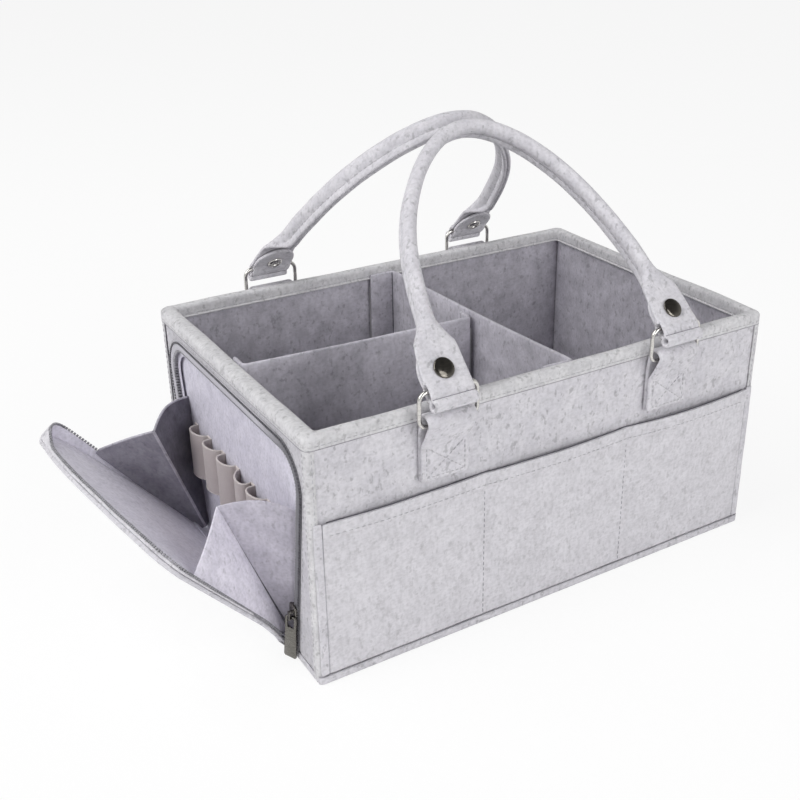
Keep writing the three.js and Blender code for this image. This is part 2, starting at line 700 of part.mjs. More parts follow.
function tabGeometry() {
  const outerRadius = TAB_LOOP_INNER + TAB_FELT;
  const wallY = -(halfWidth + SEAM_GAP);
  const outline = new THREE.Shape();
  const bottom = tabLoopZ - TAB_LENGTH;
  const rimClearZ = Math.min(tabLoopZ, BOX_HEIGHT - BINDING_DEPTH - SEAM_GAP);
  outline.moveTo(wallY, bottom);
  outline.lineTo(wallY, rimClearZ - outerRadius);
  outline.lineTo(barY + outerRadius, rimClearZ);
  outline.absarc(barY, tabLoopZ, outerRadius, 0, Math.PI, false);
  outline.lineTo(wallY - 2 * TAB_FELT, tabLoopZ - TAB_JOIN_DROP);
  outline.lineTo(wallY - 2 * TAB_FELT, bottom);
  const eye = new THREE.Path();
  eye.absarc(barY, tabLoopZ, TAB_LOOP_INNER, 0, 2 * Math.PI, true);
  outline.holes.push(eye);
  return slabAlongX(outline, -TAB_WIDTH / 2, TAB_WIDTH / 2, 10);
}

// Wire ring: an upright rounded rectangle swept by the wire

function ringGeometry() {
  const cornerSteps = 4;
  const wireSides = 8;
  const centreX = RING_WIDTH / 2 - RING_CORNER;
  const centreZ = RING_HEIGHT / 2 - RING_CORNER;
  const path = [];
  for (let corner = 0; corner < 4; corner += 1) {
    const signX = corner === 0 || corner === 3 ? 1 : -1;
    const signZ = corner < 2 ? 1 : -1;
    for (let step = 0; step <= cornerSteps; step += 1) {
      const angle = (corner + step / cornerSteps) * Math.PI / 2;
      path.push({ x: signX * centreX, z: signZ * centreZ, angle });
    }
  }
  const rings = path.map(({ x, z, angle }) => {
    const section = [];
    for (let side = 0; side < wireSides; side += 1) {
      const turn = (side / wireSides) * 2 * Math.PI;
      const reach = RING_CORNER + WIRE_RADIUS * Math.cos(turn);
      const px = x + reach * Math.cos(angle);
      const pz = z + reach * Math.sin(angle);
      section.push(new THREE.Vector3(px, WIRE_RADIUS * Math.sin(turn), pz));
    }
    return section;
  });
  return skin(rings, true);
}

// Handle, in its own group at the rings' upper bars: Z runs up the handle and -Y is its outer face

function handleSections() {
  const bottom = HANDLE_FOLD_JOIN;
  const half = new THREE.CubicBezierCurve(
    new THREE.Vector2(-STRAP_CENTRE_X, bottom),
    new THREE.Vector2(-STRAP_CENTRE_X + HANDLE_LEG_INSET, bottom + HANDLE_LEG_PULL),
    new THREE.Vector2(-HANDLE_TOP_PULL, HANDLE_HEIGHT),
    new THREE.Vector2(0, HANDLE_HEIGHT),
  );
  const steps = 20;
  const sides = 16;
  const leftHalf = [];
  for (let step = 0; step <= steps; step += 1) {
    const share = step / steps;
    leftHalf.push({ point: half.getPointAt(share), heading: half.getTangentAt(share) });
  }
  const rightHalf = leftHalf.slice(0, -1).reverse().map(({ point, heading }) => ({
    point: new THREE.Vector2(-point.x, point.y),
    heading: new THREE.Vector2(heading.x, -heading.y),
  }));
  return [...leftHalf, ...rightHalf].map(({ point, heading }) => {
    const taper = THREE.MathUtils.smoothstep(point.y, HANDLE_TAB_STRAIGHT, HANDLE_TAPER_END);
    const halfWide = THREE.MathUtils.lerp(HANDLE_TAB_WIDTH / 2 - SEAM_GAP, HANDLE_THICK / 2, taper);
    const halfDeep = THREE.MathUtils.lerp(HANDLE_FELT - SEAM_GAP, HANDLE_DEPTH / 2, taper);
    const power = THREE.MathUtils.lerp(HANDLE_TAB_SQUARENESS, HANDLE_STRAP_SQUARENESS, taper);
    const setIn = HANDLE_SET_IN * taper;
    const ring = [];
    for (let side = 0; side < sides; side += 1) {
      const angle = (side / sides) * 2 * Math.PI;
      const across = halfWide * Math.sign(Math.cos(angle)) * Math.abs(Math.cos(angle)) ** power;
      const deep = setIn + halfDeep * Math.sign(Math.sin(angle)) * Math.abs(Math.sin(angle)) ** power;
      ring.push(new THREE.Vector3(point.x + heading.y * across, deep, point.y - heading.x * across));
    }
    return ring;
  });
}

function handleTab(centreX) {
  const outerRadius = HANDLE_FOLD_INNER + HANDLE_FELT;
  const foldZ = -(HANDLE_FOLD_INNER - WIRE_RADIUS - SEAM_GAP);
  const outline = new THREE.Shape();
  outline.moveTo(HANDLE_FELT, HANDLE_TAB_STRAIGHT);
  outline.lineTo(-HANDLE_FELT, HANDLE_TAB_STRAIGHT);
  outline.lineTo(-HANDLE_FELT, HANDLE_FOLD_JOIN);
  outline.lineTo(-outerRadius, foldZ);
  outline.absarc(0, foldZ, outerRadius, Math.PI, 2 * Math.PI, false);
  outline.lineTo(HANDLE_FELT, HANDLE_FOLD_JOIN);
  const eye = new THREE.Path();
  eye.absarc(0, foldZ, HANDLE_FOLD_INNER, 0, 2 * Math.PI, true);
  outline.holes.push(eye);
  return slabAlongX(outline, centreX - HANDLE_TAB_WIDTH / 2, centreX + HANDLE_TAB_WIDTH / 2, 10);
}

function postHole(centreX) {
  const radius = POST_RADIUS + SEAM_GAP;
  const hole = new THREE.CylinderGeometry(radius, radius, 4 * HANDLE_FELT, 12);
  return hole.translate(centreX, 0, SNAP_HEIGHT);
}

// Snap cap: a domed head with the post that passes through the tab, turned about the post's axis

function capGeometry() {
  const domeSteps = 4;
  const tail = -(2 * HANDLE_FELT + 2 * SEAM_GAP + SOCKET_DEPTH);
  const profile = [new THREE.Vector2(0, tail), new THREE.Vector2(POST_RADIUS, tail)];
  profile.push(new THREE.Vector2(POST_RADIUS, 0), new THREE.Vector2(CAP_RADIUS - CAP_EDGE / 2, 0));
  for (let step = 0; step < domeSteps; step += 1) {
    const angle = (step / domeSteps) * Math.PI / 2;
    profile.push(new THREE.Vector2(CAP_RADIUS * Math.cos(angle), CAP_EDGE + CAP_DOME * Math.sin(angle)));
  }
  profile.push(new THREE.Vector2(0, CAP_EDGE + CAP_DOME));
  return new THREE.LatheGeometry(profile, 20);
}

// Snap socket: a rolled ring round the end of the post

function socketGeometry() {
  const inner = POST_RADIUS + SEAM_GAP;
  const lip = SOCKET_DEPTH / 3;
  const profile = [
    new THREE.Vector2(inner, 0),
    new THREE.Vector2(SOCKET_RADIUS, 0),
    new THREE.Vector2(SOCKET_RADIUS, SOCKET_DEPTH - lip),
    new THREE.Vector2(SOCKET_RADIUS - lip, SOCKET_DEPTH),
    new THREE.Vector2(inner + lip, SOCKET_DEPTH),
    new THREE.Vector2(inner, SOCKET_DEPTH - lip),
    new THREE.Vector2(inner, 0),
  ];
  return new THREE.LatheGeometry(profile, 16);
}

// One long side: two tabs with their rings, and the handle that joins the rings

function buildStrapSide(place) {
  const side = new THREE.Group();
  side.rotation.z = place === 'front' ? 0 : Math.PI;
  caddy.add(side);
  const handle = new THREE.Group();
  handle.position.set(0, barY, upperBarZ);
  handle.rotation.x = -THREE.MathUtils.degToRad(HANDLE_LEAN);
  side.add(handle);
  const strap = join(skin(handleSections(), false), handleTab(-STRAP_CENTRE_X), handleTab(STRAP_CENTRE_X));
  const drilled = cut(strap, postHole(-STRAP_CENTRE_X), postHole(STRAP_CENTRE_X));
  addPart(handle, `${place}_handle`, drilled, felt);
  for (const sign of [-1, 1]) {
    const isLeft = (sign < 0) === (place === 'front');
    const end = `${place}_${isLeft ? 'left' : 'right'}`;
    const centreX = sign * STRAP_CENTRE_X;
    const tab = addPart(side, `wall_tab_${end}`, tabGeometry(), felt);
    tab.position.x = centreX;
    const ring = addPart(side, `ring_${end}`, ringGeometry(), nickel);
    ring.position.set(centreX, barY, lowerBarZ + RING_HEIGHT / 2);
    const cap = addPart(handle, `snap_cap_${end}`, capGeometry(), nickel);
    cap.position.set(centreX, -(HANDLE_FELT + SEAM_GAP), SNAP_HEIGHT);
    cap.rotation.x = Math.PI;
    const socket = addPart(handle, `snap_socket_${end}`, socketGeometry(), nickel);
    socket.position.set(centreX, HANDLE_FELT + SEAM_GAP, SNAP_HEIGHT);
  }
}

buildBox();
buildRim();
buildFrontPocket();
buildWallZip();
buildSlider();
buildGussets(buildFlap());
buildElasticLoops();
buildDividers();
buildStrapSide('front');
buildStrapSide('back');

export default caddy;
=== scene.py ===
import json
import math

import bmesh
import bpy
from mathutils import Matrix, Vector, noise


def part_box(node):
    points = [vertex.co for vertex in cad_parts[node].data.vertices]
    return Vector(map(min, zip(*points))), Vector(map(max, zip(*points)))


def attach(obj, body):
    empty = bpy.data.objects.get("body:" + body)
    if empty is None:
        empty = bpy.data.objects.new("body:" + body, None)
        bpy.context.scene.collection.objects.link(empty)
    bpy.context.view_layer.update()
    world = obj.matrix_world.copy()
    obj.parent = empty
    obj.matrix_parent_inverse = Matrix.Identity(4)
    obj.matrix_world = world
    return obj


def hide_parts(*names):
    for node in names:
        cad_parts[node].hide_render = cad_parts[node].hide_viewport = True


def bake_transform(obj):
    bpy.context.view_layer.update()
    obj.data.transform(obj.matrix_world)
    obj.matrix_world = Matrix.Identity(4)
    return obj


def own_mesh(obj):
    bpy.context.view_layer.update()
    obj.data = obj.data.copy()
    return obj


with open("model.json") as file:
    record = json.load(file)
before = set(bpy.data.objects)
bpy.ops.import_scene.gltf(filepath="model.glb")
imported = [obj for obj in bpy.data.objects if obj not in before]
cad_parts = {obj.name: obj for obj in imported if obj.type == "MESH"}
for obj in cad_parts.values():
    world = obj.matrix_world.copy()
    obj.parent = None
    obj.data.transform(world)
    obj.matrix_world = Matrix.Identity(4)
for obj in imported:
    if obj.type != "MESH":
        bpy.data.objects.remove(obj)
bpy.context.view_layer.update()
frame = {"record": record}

# Sizes are millimetres in the part's frame, and pieces are scaled to metres when they are made
MM = 0.001
UP = Vector((0, 0, 1))
FRONT = Vector((0, -1, 0))
LEFT = Vector((-1, 0, 0))

# Camera, worked out from the photograph
PHOTO_PIXELS = 800
FOCAL_PIXELS = 1114.8
CENTRE_PIXEL_X = 447.0
CENTRE_PIXEL_Y = 376.1
CAMERA_PLACE = Vector((-430.4, -662.0, 494.5))
CAMERA_TARGET = Vector((-11.14, 0, 131.12))
SENSOR_WIDTH = 36

# Studio; each lamp has its place, what it points at and its size in metres, and its watts
FLOOR_SIZE = 9000
FLOOR_HEIGHT = -0.3
FLOOR_WHITE = 0.88
SKY_STRENGTH = 0.72
LAMPS = (
    ("overhead", (-1.1, 0.5, 2.2), (0, 0, 0.1), 1.8, 19),
    ("front", (0.3, -2.4, 0.9), (0, 0, 0.12), 1.4, 16),
    ("cap_light", (0.39, -1.46, 1.32), (0, 0, 0.12), 0.7, 4),
    ("left", (-2.1, 0.0, 1.8), (0, 0, 0.12), 1.3, 26),
)

# Felt, and stitches as (share of the way, rise, girth), the last two counted in thread radii
WALL_WAVE = 0.8
WAVE_SIZE = 55
EDGE_STEPS = 4
LAYER_GAP = 0.3
STITCH_PITCH = 4.4
STITCH_LENGTH = 3.2
STITCH_RADIUS = 0.3
STITCH_SHAPE = ((0, -0.9, 0.6), (0.2, 0.15, 1), (0.5, 0.45, 1.1), (0.8, 0.15, 1), (1, -0.9, 0.6))

# Corner strips, rim and base
CORNER_REACH = 5.4
CORNER_FELT = 0.8
CORNER_ROUND = 3.0
CORNER_WAVE = 0.25
CORNER_FOOT = 0.8
CORNER_UNDER_RIM = 3
CORNER_STITCH_INSET = 1.6
RIM_CORNER = 6.0
RIM_STRAIGHT = 6.0
RIM_SAG = 0.4
RIM_WAVE = 0.9
RIM_STITCH_RISE = 2.2
BASE_EDGE_HEIGHT = 6.2
BASE_EDGE_REACH = 0.7
BASE_EDGE_WAVE = 0.35

# Front pockets
POCKET_FELT = 2.4
POCKET_FOOT_GAP = 0.8
POCKET_WAVE = 0.5
POCKET_SEAM_X = 62
POCKET_GAPES = (2.4, 3.2, 4.6)
POCKET_HEM = 10
POCKET_HEM_FELT = 0.8
POCKET_HEM_STITCH_RISE = 1.6
POCKET_STITCH_MARGIN = 4
POCKET_SIDE_FELT = 2.0

# Dividers
DIVIDER_FELT = 3
DIVIDER_BEND = 3
DIVIDER_INSET = 2
DIVIDER_RISE = 5
DIVIDER_SKEW = 3.5
DIVIDER_WAVE = 1.6

# Ring tabs
TAB_FELT = 3
TAB_LOOP_INNER = 4
TAB_JOIN_DROP = 20
TAB_BELLY = 4.6
TAB_BOX_HEIGHT = 22
TAB_BOX_MARGIN = 2
TAB_STITCH_PITCH = 3.6
TAB_STITCH_LENGTH = 2.6
RING_CORNER = 6

# Handles
HANDLE_LEAN = math.radians(43.3)
HANDLE_HEIGHT = 176.5
HANDLE_SWAY = -4
HANDLE_SPREAD = 3
HANDLE_TOP_PULL = 40
HANDLE_LEG_PULL = 106
HANDLE_LEG_INSET = 3
HANDLE_FELT = 3
HANDLE_TAB_WIDTH = 34.5
HANDLE_TAB_NARROWING = 0.13
HANDLE_TAB_STRAIGHT = 27
HANDLE_TAPER_END = 48
HANDLE_FOLD_JOIN = 4
HANDLE_FOLD_WIDTH = 32
FOLD_CREASE = -6.8
# Place and size of the dark tubes laid in creases as painted shadow
CREASE_SHADOW_DEPTH = 2.9
CREASE_SHADOW_RADIUS = 0.5
STRAP_WAVE = 0.4
STRAP_SEAM = (2.7, 5.6)
TONGUE_TOP = 28
TONGUE_ROUND_START = 9
HANDLE_TAB_SQUARENESS = 0.35
STRAP_CENTRE_X = 95
SNAP_HEIGHT = 11.5
CAP_RADIUS = 7.2
CAP_DOME = 1.0

# Zipped opening in the left end
OPENING_SPREAD = math.radians(9)
OPENING_SIDE_MARGIN = 11.6
OPENING_TOP_MARGIN = 19
OPENING_CORNER = 27
OPENING_SILL = 1.5
CHAIN_INSET = 3.6
CHAIN_WIDTH = 2.5
TAPE_FELT = 0.7
TAPE_OVERLAP = 2.4
TAPE_LIFT = 0.45
BORDER_STITCH_GAP = 2.2
COIL_WIDTH = 1.7
COIL_LOW = 0.3
COIL_HIGH = 1.2
FLAP_INSET = 8.3
FLAP_CHAIN_WIDTH = 2.4
FLAP_TOOTH = 1.6
FLAP_TOOTH_WIDTH = 1.7
TOOTH_PITCH = 2.3
TOOTH_SHARE = 0.68
LOWEST_TOOTH = 0.4
PULL_TURN = math.radians(30)
PULL_HALF_WIDTH = 5.0
PULL_LENGTH = 37.2
PULL_PLATE = 1.4
SLIDER_PLATE = 1.2

# Flap and gussets; a span is where a form starts and where it is full
FLAP_OPEN = math.radians(39.5)
FLAP_CLOSED = math.radians(6.5)
FLAP_BOW = 5
FLAP_DROOP = 13
FLAP_DROOP_SPAN = (-60, 100)
FLAP_CURL = 3
FLAP_CURL_SPAN = (30, 100)
FLAP_CURL_RISE = (5, 40)
FLAP_SKEW = 8
FLAP_FELT = 3
FLAP_FACE = -3.4
LINING_FACE = -1.9
LINING_FELT = 1.2
BAND_TOP_X = -193.9
BAND_FELT = 2
BAND_START = 52
BAND_PRESSED = 0.16
BAND_STANDING = 0.85
BAND_STANDING_SPAN = (66, 103)
HINGE_FELT = 0.8
HINGE_MARGIN = 8
GUSSET_ANGLE = math.radians(26.8)
GUSSET_FOLD = math.radians(47.8)
GUSSET_START = 5
GUSSET_EDGE = 112
GUSSET_APEX = 116
GUSSET_FELT = 1.4
GUSSET_BELLY = 1.4
BACK_GUSSET_HOLLOW = -3.0
GUSSET_CROWN = 5
WALL_SKIRT = 2.4
FLAP_SKIRT = 3.4
GUSSET_HEM = 0.9
BACK_RIDGE = 1.2

# Elastic loops
LOOP_COUNT = 5
LOOP_FLAT = 6
LOOP_DEPTH = 8.1
LOOP_LEAN = 3.5
RIBBON_FELT = 1.1
SELVAGE_RADIUS = 0.75
LOOP_STITCH_PITCH = 3.4
LOOP_STITCH_LENGTH = 2.5


def node_box(name):
    low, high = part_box(name)
    return low / MM, high / MM


joint_places = {
    joint["name"]: Vector(joint["pos_m"]) / MM
    for joint in frame["record"]["behaviour"]["joints"]
    if "pos_m" in joint
}
base_high = node_box("base_panel")[1]
front_low, front_high = node_box("front_wall")
left_low, left_high = node_box("left_wall")
border_low, border_high = node_box("end_border")
rim_low, rim_high = node_box("rim_binding")
pocket_low, pocket_high = node_box("front_pocket_panel")
half_length = base_high.x
half_width = base_high.y
wall_felt = front_high.y - front_low.y
hinge = joint_places["flap_hinge"]
opening_height = rim_high.z - OPENING_TOP_MARGIN - hinge.z
corner_height = opening_height - OPENING_CORNER
corner_y = half_width - OPENING_SIDE_MARGIN - OPENING_CORNER
hinge_half = corner_y + OPENING_CORNER / math.cos(OPENING_SPREAD) - corner_height * math.tan(OPENING_SPREAD)
flap_frame = Matrix.Translation(hinge) @ Matrix.Rotation(-FLAP_OPEN, 4, "Y")


# Material helpers

def display(red, green, blue):
    """Linear colour for a colour as it shows on a screen, in steps of 0 to 255."""
    shares = [channel / 255 for channel in (red, green, blue)]
    return [s / 12.92 if s <= 0.04045 else ((s + 0.055) / 1.055) ** 2.4 for s in shares] + [1]


def grey(level):
    return (level, level, level, 1)


def feed(tree, node, inputs):
    """Puts plain values and the outputs of other nodes into a node's inputs."""
    for key, value in inputs.items():
        if isinstance(value, bpy.types.NodeSocket):
            tree.links.new(value, node.inputs[key])
        else:
            node.inputs[key].default_value = value


def add_node(tree, kind, inputs, **settings):
    node = tree.nodes.new(f"ShaderNode{kind}")
    for name, value in settings.items():
        setattr(node, name, value)
    feed(tree, node, inputs)
    return node


def start_material(name, roughness, metallic=0.0):
    material = bpy.data.materials.new(name)
    material.use_nodes = True
    shader = material.node_tree.nodes["Principled BSDF"]
    feed(material.node_tree, shader, {"Roughness": roughness, "Metallic": metallic})
    return material, material.node_tree, shader


def own_place(tree):
    return add_node(tree, "TexCoord", {}).outputs["Object"]


def noise_value(tree, scale, detail=3.0, stretch=(1, 1, 1), turn=(0, 0, 0)):
    """Noise in the piece's own coordinates; scale counts features in a metre."""
    mapping = add_node(tree, "Mapping", {"Vector": own_place(tree), "Scale": stretch, "Rotation": turn})
    inputs = {"Vector": mapping.outputs["Vector"], "Scale": scale, "Detail": detail}
    return add_node(tree, "TexNoise", inputs).outputs["Fac"]


def bands(tree, scale, axis):
    """Fine ribs across one axis of the piece."""
    inputs = {"Vector": own_place(tree), "Scale": scale, "Distortion": 0.6}
    return add_node(tree, "TexWave", inputs, bands_direction=axis).outputs["Fac"]


def ramp(tree, source, stops):
    """Colours at places from 0 to 1 of a value."""
    node = add_node(tree, "ValToRGB", {"Fac": source})
    elements = node.color_ramp.elements
    while len(elements) < len(stops):
        elements.new(0.5)
    for element, (place, colour) in zip(elements, stops):
        element.position = place
        element.color = colour
    return node.outputs["Color"]


def multiply(tree, first, second):
    inputs = {"Factor": 1, "A": first, "B": second}
    return add_node(tree, "Mix", inputs, data_type="RGBA", blend_type="MULTIPLY").outputs["Result"]


def calculate(tree, operation, *values):
    return add_node(tree, "Math", dict(enumerate(values)), operation=operation).outputs["Value"]


def mix_shaders(tree, share, first, second, output):
    mix = add_node(tree, "MixShader", {"Fac": share, 1: first, 2: second})
    tree.links.new(mix.outputs["Shader"], tree.nodes[output].inputs["Surface"])


def bump(tree, height, strength, depth):
    """Relief whose depth is in millimetres."""
    inputs = {"Strength": strength, "Distance": depth * MM, "Height": height}
    return add_node(tree, "Bump", inputs).outputs["Normal"]


def felt_material(name, pale, shade, fleck=0.74):
    """Pressed wool felt: soft blotches, matted fibres in two directions and scattered flecks."""
    material, tree, shader = start_material(name, 0.95)
    blotches = ramp(tree, noise_value(tree, 75, 6), [(0.34, display(*shade)), (0.66, display(*pale))])
    fibres = noise_value(tree, 430, 4, (1, 1, 0.5), (0.5, 0.3, 0))
    crossing = noise_value(tree, 560, 3, (0.55, 1, 1), (0, 0.4, 0.6))
    matted = calculate(tree, "MULTIPLY", calculate(tree, "ADD", fibres, crossing), 0.5)
    grain = ramp(tree, matted, [(0.36, grey(0.82)), (0.58, grey(1.0))])
    flecks = ramp(tree, noise_value(tree, 300, 3, (1, 1, 0.7)), [(0.33, grey(fleck)), (0.41, grey(1.0))])
    feed(tree, shader, {
        "Base Color": multiply(tree, multiply(tree, blotches, grain), flecks),
        "Normal": bump(tree, matted, 0.5, 0.5),
        "Sheen Weight": 0.12,
        "Sheen Roughness": 0.6,
        "Specular IOR Level": 0.15,
    })
    return material


def elastic_material():
    """Knitted elastic with ribs along the ribbon."""
    material, tree, shader = start_material("elastic", 0.8)
    ribs = bands(tree, 420, "Z")
    knit = calculate(tree, "MULTIPLY_ADD", noise_value(tree, 900), 0.6, ribs)
    feed(tree, shader, {
        "Base Color": ramp(tree, knit, [(0.2, display(160, 151, 151)), (1.0, display(198, 188, 186))]),
        "Normal": bump(tree, ribs, 0.4, 0.25),
        "Sheen Weight": 0.2,
    })
    return material


def tape_weave(tree):
    return calculate(tree, "MULTIPLY_ADD", noise_value(tree, 800), 0.8, bands(tree, 700, "DIAGONAL"))


def woven_material(name, dark, light):
    """Fine woven tape."""
    material, tree, shader = start_material(name, 0.85)
    weave = tape_weave(tree)
    colour = ramp(tree, weave, [(0.3, display(*dark)), (1.0, display(*light))])
    feed(tree, shader, {"Base Color": colour, "Normal": bump(tree, weave, 0.3, 0.2)})
    return material


def zip_tape_painted_shade_material():
    """Woven tape with painted shade: darker towards the front of the box, where the folded flap shades it.
    """
    material, tree, shader = start_material("zip_tape", 0.85)
    weave = tape_weave(tree)
    parts = add_node(tree, "SeparateXYZ", {"Vector": own_place(tree)})
    place = calculate(tree, "MULTIPLY_ADD", parts.outputs["Y"], 4.5, 0.5)
    # Painted shade: the tape's colour darkens towards the front.
    tone = ramp(tree, place, [(0.07, display(120, 119, 124)), (0.26, display(196, 194, 201))])
    colour = multiply(tree, tone, ramp(tree, weave, [(0.3, grey(0.84)), (1.0, grey(1.0))]))
    feed(tree, shader, {"Base Color": colour, "Normal": bump(tree, weave, 0.3, 0.2)})
    return material


def plastic_material(name, dark, light):
    material, tree, shader = start_material(name, 0.42)
    colour = ramp(tree, noise_value(tree, 260), [(0.35, display(*dark)), (0.65, display(*light))])
    feed(tree, shader, {"Base Color": colour, "Normal": bump(tree, noise_value(tree, 1500, 2), 0.12, 0.1)})
    return material


def metal_material(name, dark, light, roughness):
    """Plated metal with faint polishing marks."""
    material, tree, shader = start_material(name, roughness, 1.0)
    polish = noise_value(tree, 300, 3, (1, 1, 6))
    levels = [(0.3, grey(roughness * 0.7)), (0.7, grey(roughness * 1.4))]
    feed(tree, shader, {
        "Base Color": ramp(tree, polish, [(0.3, display(*dark)), (0.7, display(*light))]),
        "Roughness": ramp(tree, noise_value(tree, 700, 2), levels),
        "Normal": bump(tree, polish, 0.05, 0.1),
    })
    return material


felt = felt_material("felt", (216, 214, 219), (205, 203, 209))
# The end border is the same felt as the walls in a darker copy: painted shade.
border_painted_shade_felt = felt_material("border_painted_shade_felt", (203, 201, 206), (192, 190, 196))
pocket_felt = felt_material("pocket_felt", (216, 214, 219), (207, 205, 210), 0.86)
binding_felt = felt_material("binding_felt", (215, 214, 216), (203, 202, 205))
lining_felt = felt_material("lining_felt", (221, 218, 230), (209, 206, 219), 0.9)
flap_lining = felt_material("flap_lining", (240, 237, 247), (228, 225, 236), 0.88)
# The inside's felt is the same felt made darker: painted shade for inner faces, the base's top, the dividers
# and the back gusset's hem.
inner_felt = felt_material("inner_felt", (204, 201, 210), (180, 177, 186), 0.76)
gusset_felt = felt_material("gusset_felt", (240, 236, 247), (226, 222, 234), 0.84)
# Darker copies of the gusset felt are painted shade: both back gusset panels, the deepest on its wall panel,
# and the near gusset's wall panel.
back_gusset_painted_shade_felt = felt_material("back_gusset_painted_shade_felt", (162, 159, 169), (140, 137, 148), 0.86)
near_gusset_painted_shade_felt = felt_material("near_gusset_painted_shade_felt", (204, 200, 211), (188, 184, 196), 0.84)
back_gusset_deep_painted_shade_felt = felt_material("back_gusset_deep_painted_shade_felt", (124, 121, 131), (102, 99, 110), 0.86)
seam_thread = felt_material("seam_thread", (172, 170, 176), (154, 152, 159), 0.9)
# Dark felt for tubes laid where there is only shadow: the pocket mouths, handle creases, divider bend and
# front gusset fold.
painted_shadow_felt = felt_material("painted_shadow_felt", (112, 110, 118), (92, 90, 98), 0.9)
thread = felt_material("thread", (196, 194, 198), (182, 180, 186), 0.9)
inner_thread = felt_material("inner_thread", (160, 157, 166), (142, 140, 150), 0.9)
elastic = elastic_material()
zip_tape = zip_tape_painted_shade_material()
selvage = woven_material("selvage", (184, 176, 173), (208, 201, 198))
grip_tape = woven_material("grip_tape", (150, 149, 152), (178, 177, 180))
zip_teeth = plastic_material("zip_teeth", (132, 131, 136), (156, 155, 160))
# The coil is darker than the teeth: a real coil whose dark colour is also painted shadow of the gap at the
# tape's outer edge.
zip_coil_with_painted_shadow = plastic_material("zip_coil_with_painted_shadow", (72, 71, 76), (96, 95, 100))
nickel = metal_material("nickel", (196, 194, 190), (222, 220, 216), 0.16)
snap_metal = metal_material("snap_metal", (86, 83, 78), (114, 110, 104), 0.13)
gunmetal = metal_material("gunmetal", (98, 96, 92), (128, 125, 120), 0.24)


# Mesh helpers: a mesh is a list of points and a list of faces that count them

def moved(mesh, place):
    points, faces = mesh
    return [place @ point for point in points], faces


def joined(meshes):
    points = []
    faces = []
    for part_points, part_faces in meshes:
        start = len(points)
        points += part_points
        faces += [[index + start for index in face] for face in part_faces]
    return points, faces


def add_piece(name, mesh, material, body, nodes=()):
    """Piece of the object that moves with a body and stands for the named solids."""
    data = bpy.data.meshes.new(name)
    data.from_pydata([point * MM for point in mesh[0]], [], mesh[1])
    shell = bmesh.new()
    shell.from_mesh(data)
    bmesh.ops.recalc_face_normals(shell, faces=shell.faces)
    shell.to_mesh(data)
    shell.free()
    data.shade_smooth()
    data.set_sharp_from_angle(angle=math.radians(55))
    data.materials.append(material)
    piece = bpy.data.objects.new(name, data)
    bpy.context.collection.objects.link(piece)
    if body:
        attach(piece, body)
    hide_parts(*nodes)
    return piece


def line_length(points):
    return sum((end - start).length for start, end in zip(points, points[1:]))


def add_sheet(name, grid, thick, material, body, nodes, place=Matrix()):
    """Piece of flat felt or tape on a grid; the size of its flat cut is worked out from the grid but not
    used.
    """
    piece = add_piece(name, moved(sheet_mesh(grid, thick), place), material, body, nodes)
    width = max(line_length(row) for row in grid)
    length = max(line_length(column) for column in zip(*grid))
    area = 0.0
    for low, high in zip(grid, grid[1:]):
        for a, b, c, d in zip(low, low[1:], high[1:], high):
            area += (c - a).cross(d - b).length / 2
    if area < width * length / 2:
        width = area / length
    return piece


def paint_side(piece, direction, material):
    """Gives the faces that look along a direction a second material; here it paints shade on inner faces."""
    piece.data.materials.append(material)
    for face in piece.data.polygons:
        if face.normal.dot(direction) > 0.5:
            face.material_index = 1


def wave(point, amount, size=WAVE_SIZE):
    """Gentle unevenness of soft felt."""
    return amount * noise.noise(point / size)


def smoothstep(value, low, high):
    share = min(max((value - low) / (high - low), 0), 1)
    return share * share * (3 - 2 * share)


def line(start, end, steps=1):
    return [Vector(start).lerp(Vector(end), step / steps) for step in range(steps + 1)]


def spaced(points, step):
    """Points a step apart along a line of points."""
    out = [points[0]]
    left = step
    for start, end in zip(points, points[1:]):
        length = (end - start).length
        at = 0.0
        while length - at >= left and length > 0:
            at += left
            out.append(start.lerp(end, at / length))
            left = step
        left -= length - at
    return out


def rounded(points, steps=6):
    """Smooth line through points."""
    out = []
    last = len(points) - 1
    for place in range(last):
        start = points[place]
        end = points[place + 1]
        pull_in = (end - points[max(place - 1, 0)]) / 2
        pull_out = (points[min(place + 2, last)] - start) / 2
        for step in range(steps):
            t = step / steps
            out.append(
                start * (2 * t ** 3 - 3 * t ** 2 + 1) + pull_in * (t ** 3 - 2 * t ** 2 + t)
                + end * (-2 * t ** 3 + 3 * t ** 2) + pull_out * (t ** 3 - t ** 2)
            )
    out.append(points[-1])
    return out


def circle(centre, side, up, radius, sides):
    angles = [2 * math.pi * step / sides for step in range(sides)]
    return [centre + (side * math.cos(angle) + up * math.sin(angle)) * radius for angle in angles]


def quads(rows, columns, ring_rows=False, ring_columns=False):
    """Faces between the points of a grid that are counted row by row."""
    faces = []
    for row in range(rows if ring_rows else rows - 1):
        above = (row + 1) % rows
        for column in range(columns if ring_columns else columns - 1):
            right = (column + 1) % columns
            faces.append([row * columns + column, row * columns + right,
                          above * columns + right, above * columns + column])
    return faces


def grid_headings(grid, row, column, ring):
    """Directions along the row and along the column at a point of a grid."""
    count = len(grid[0])
    right = grid[row][(column + 1) % count] if ring else grid[row][min(column + 1, count - 1)]
    left = grid[row][(column - 1) % count] if ring else grid[row][max(column - 1, 0)]
    above = grid[min(row + 1, len(grid) - 1)][column]
    below = grid[max(row - 1, 0)][column]
    return (right - left).normalized(), (above - below).normalized()


def grid_edges(rows, columns, ring):
    """Loops of (row, column) round a grid's open edges."""
    low = [(0, column) for column in range(columns)]
    high = [(rows - 1, column) for column in range(columns)]
    if ring:
        return [low, high]
    right = [(row, columns - 1) for row in range(1, rows - 1)]
    left = [(row, 0) for row in range(1, rows - 1)]
    return [low + right + high[::-1] + left[::-1]]


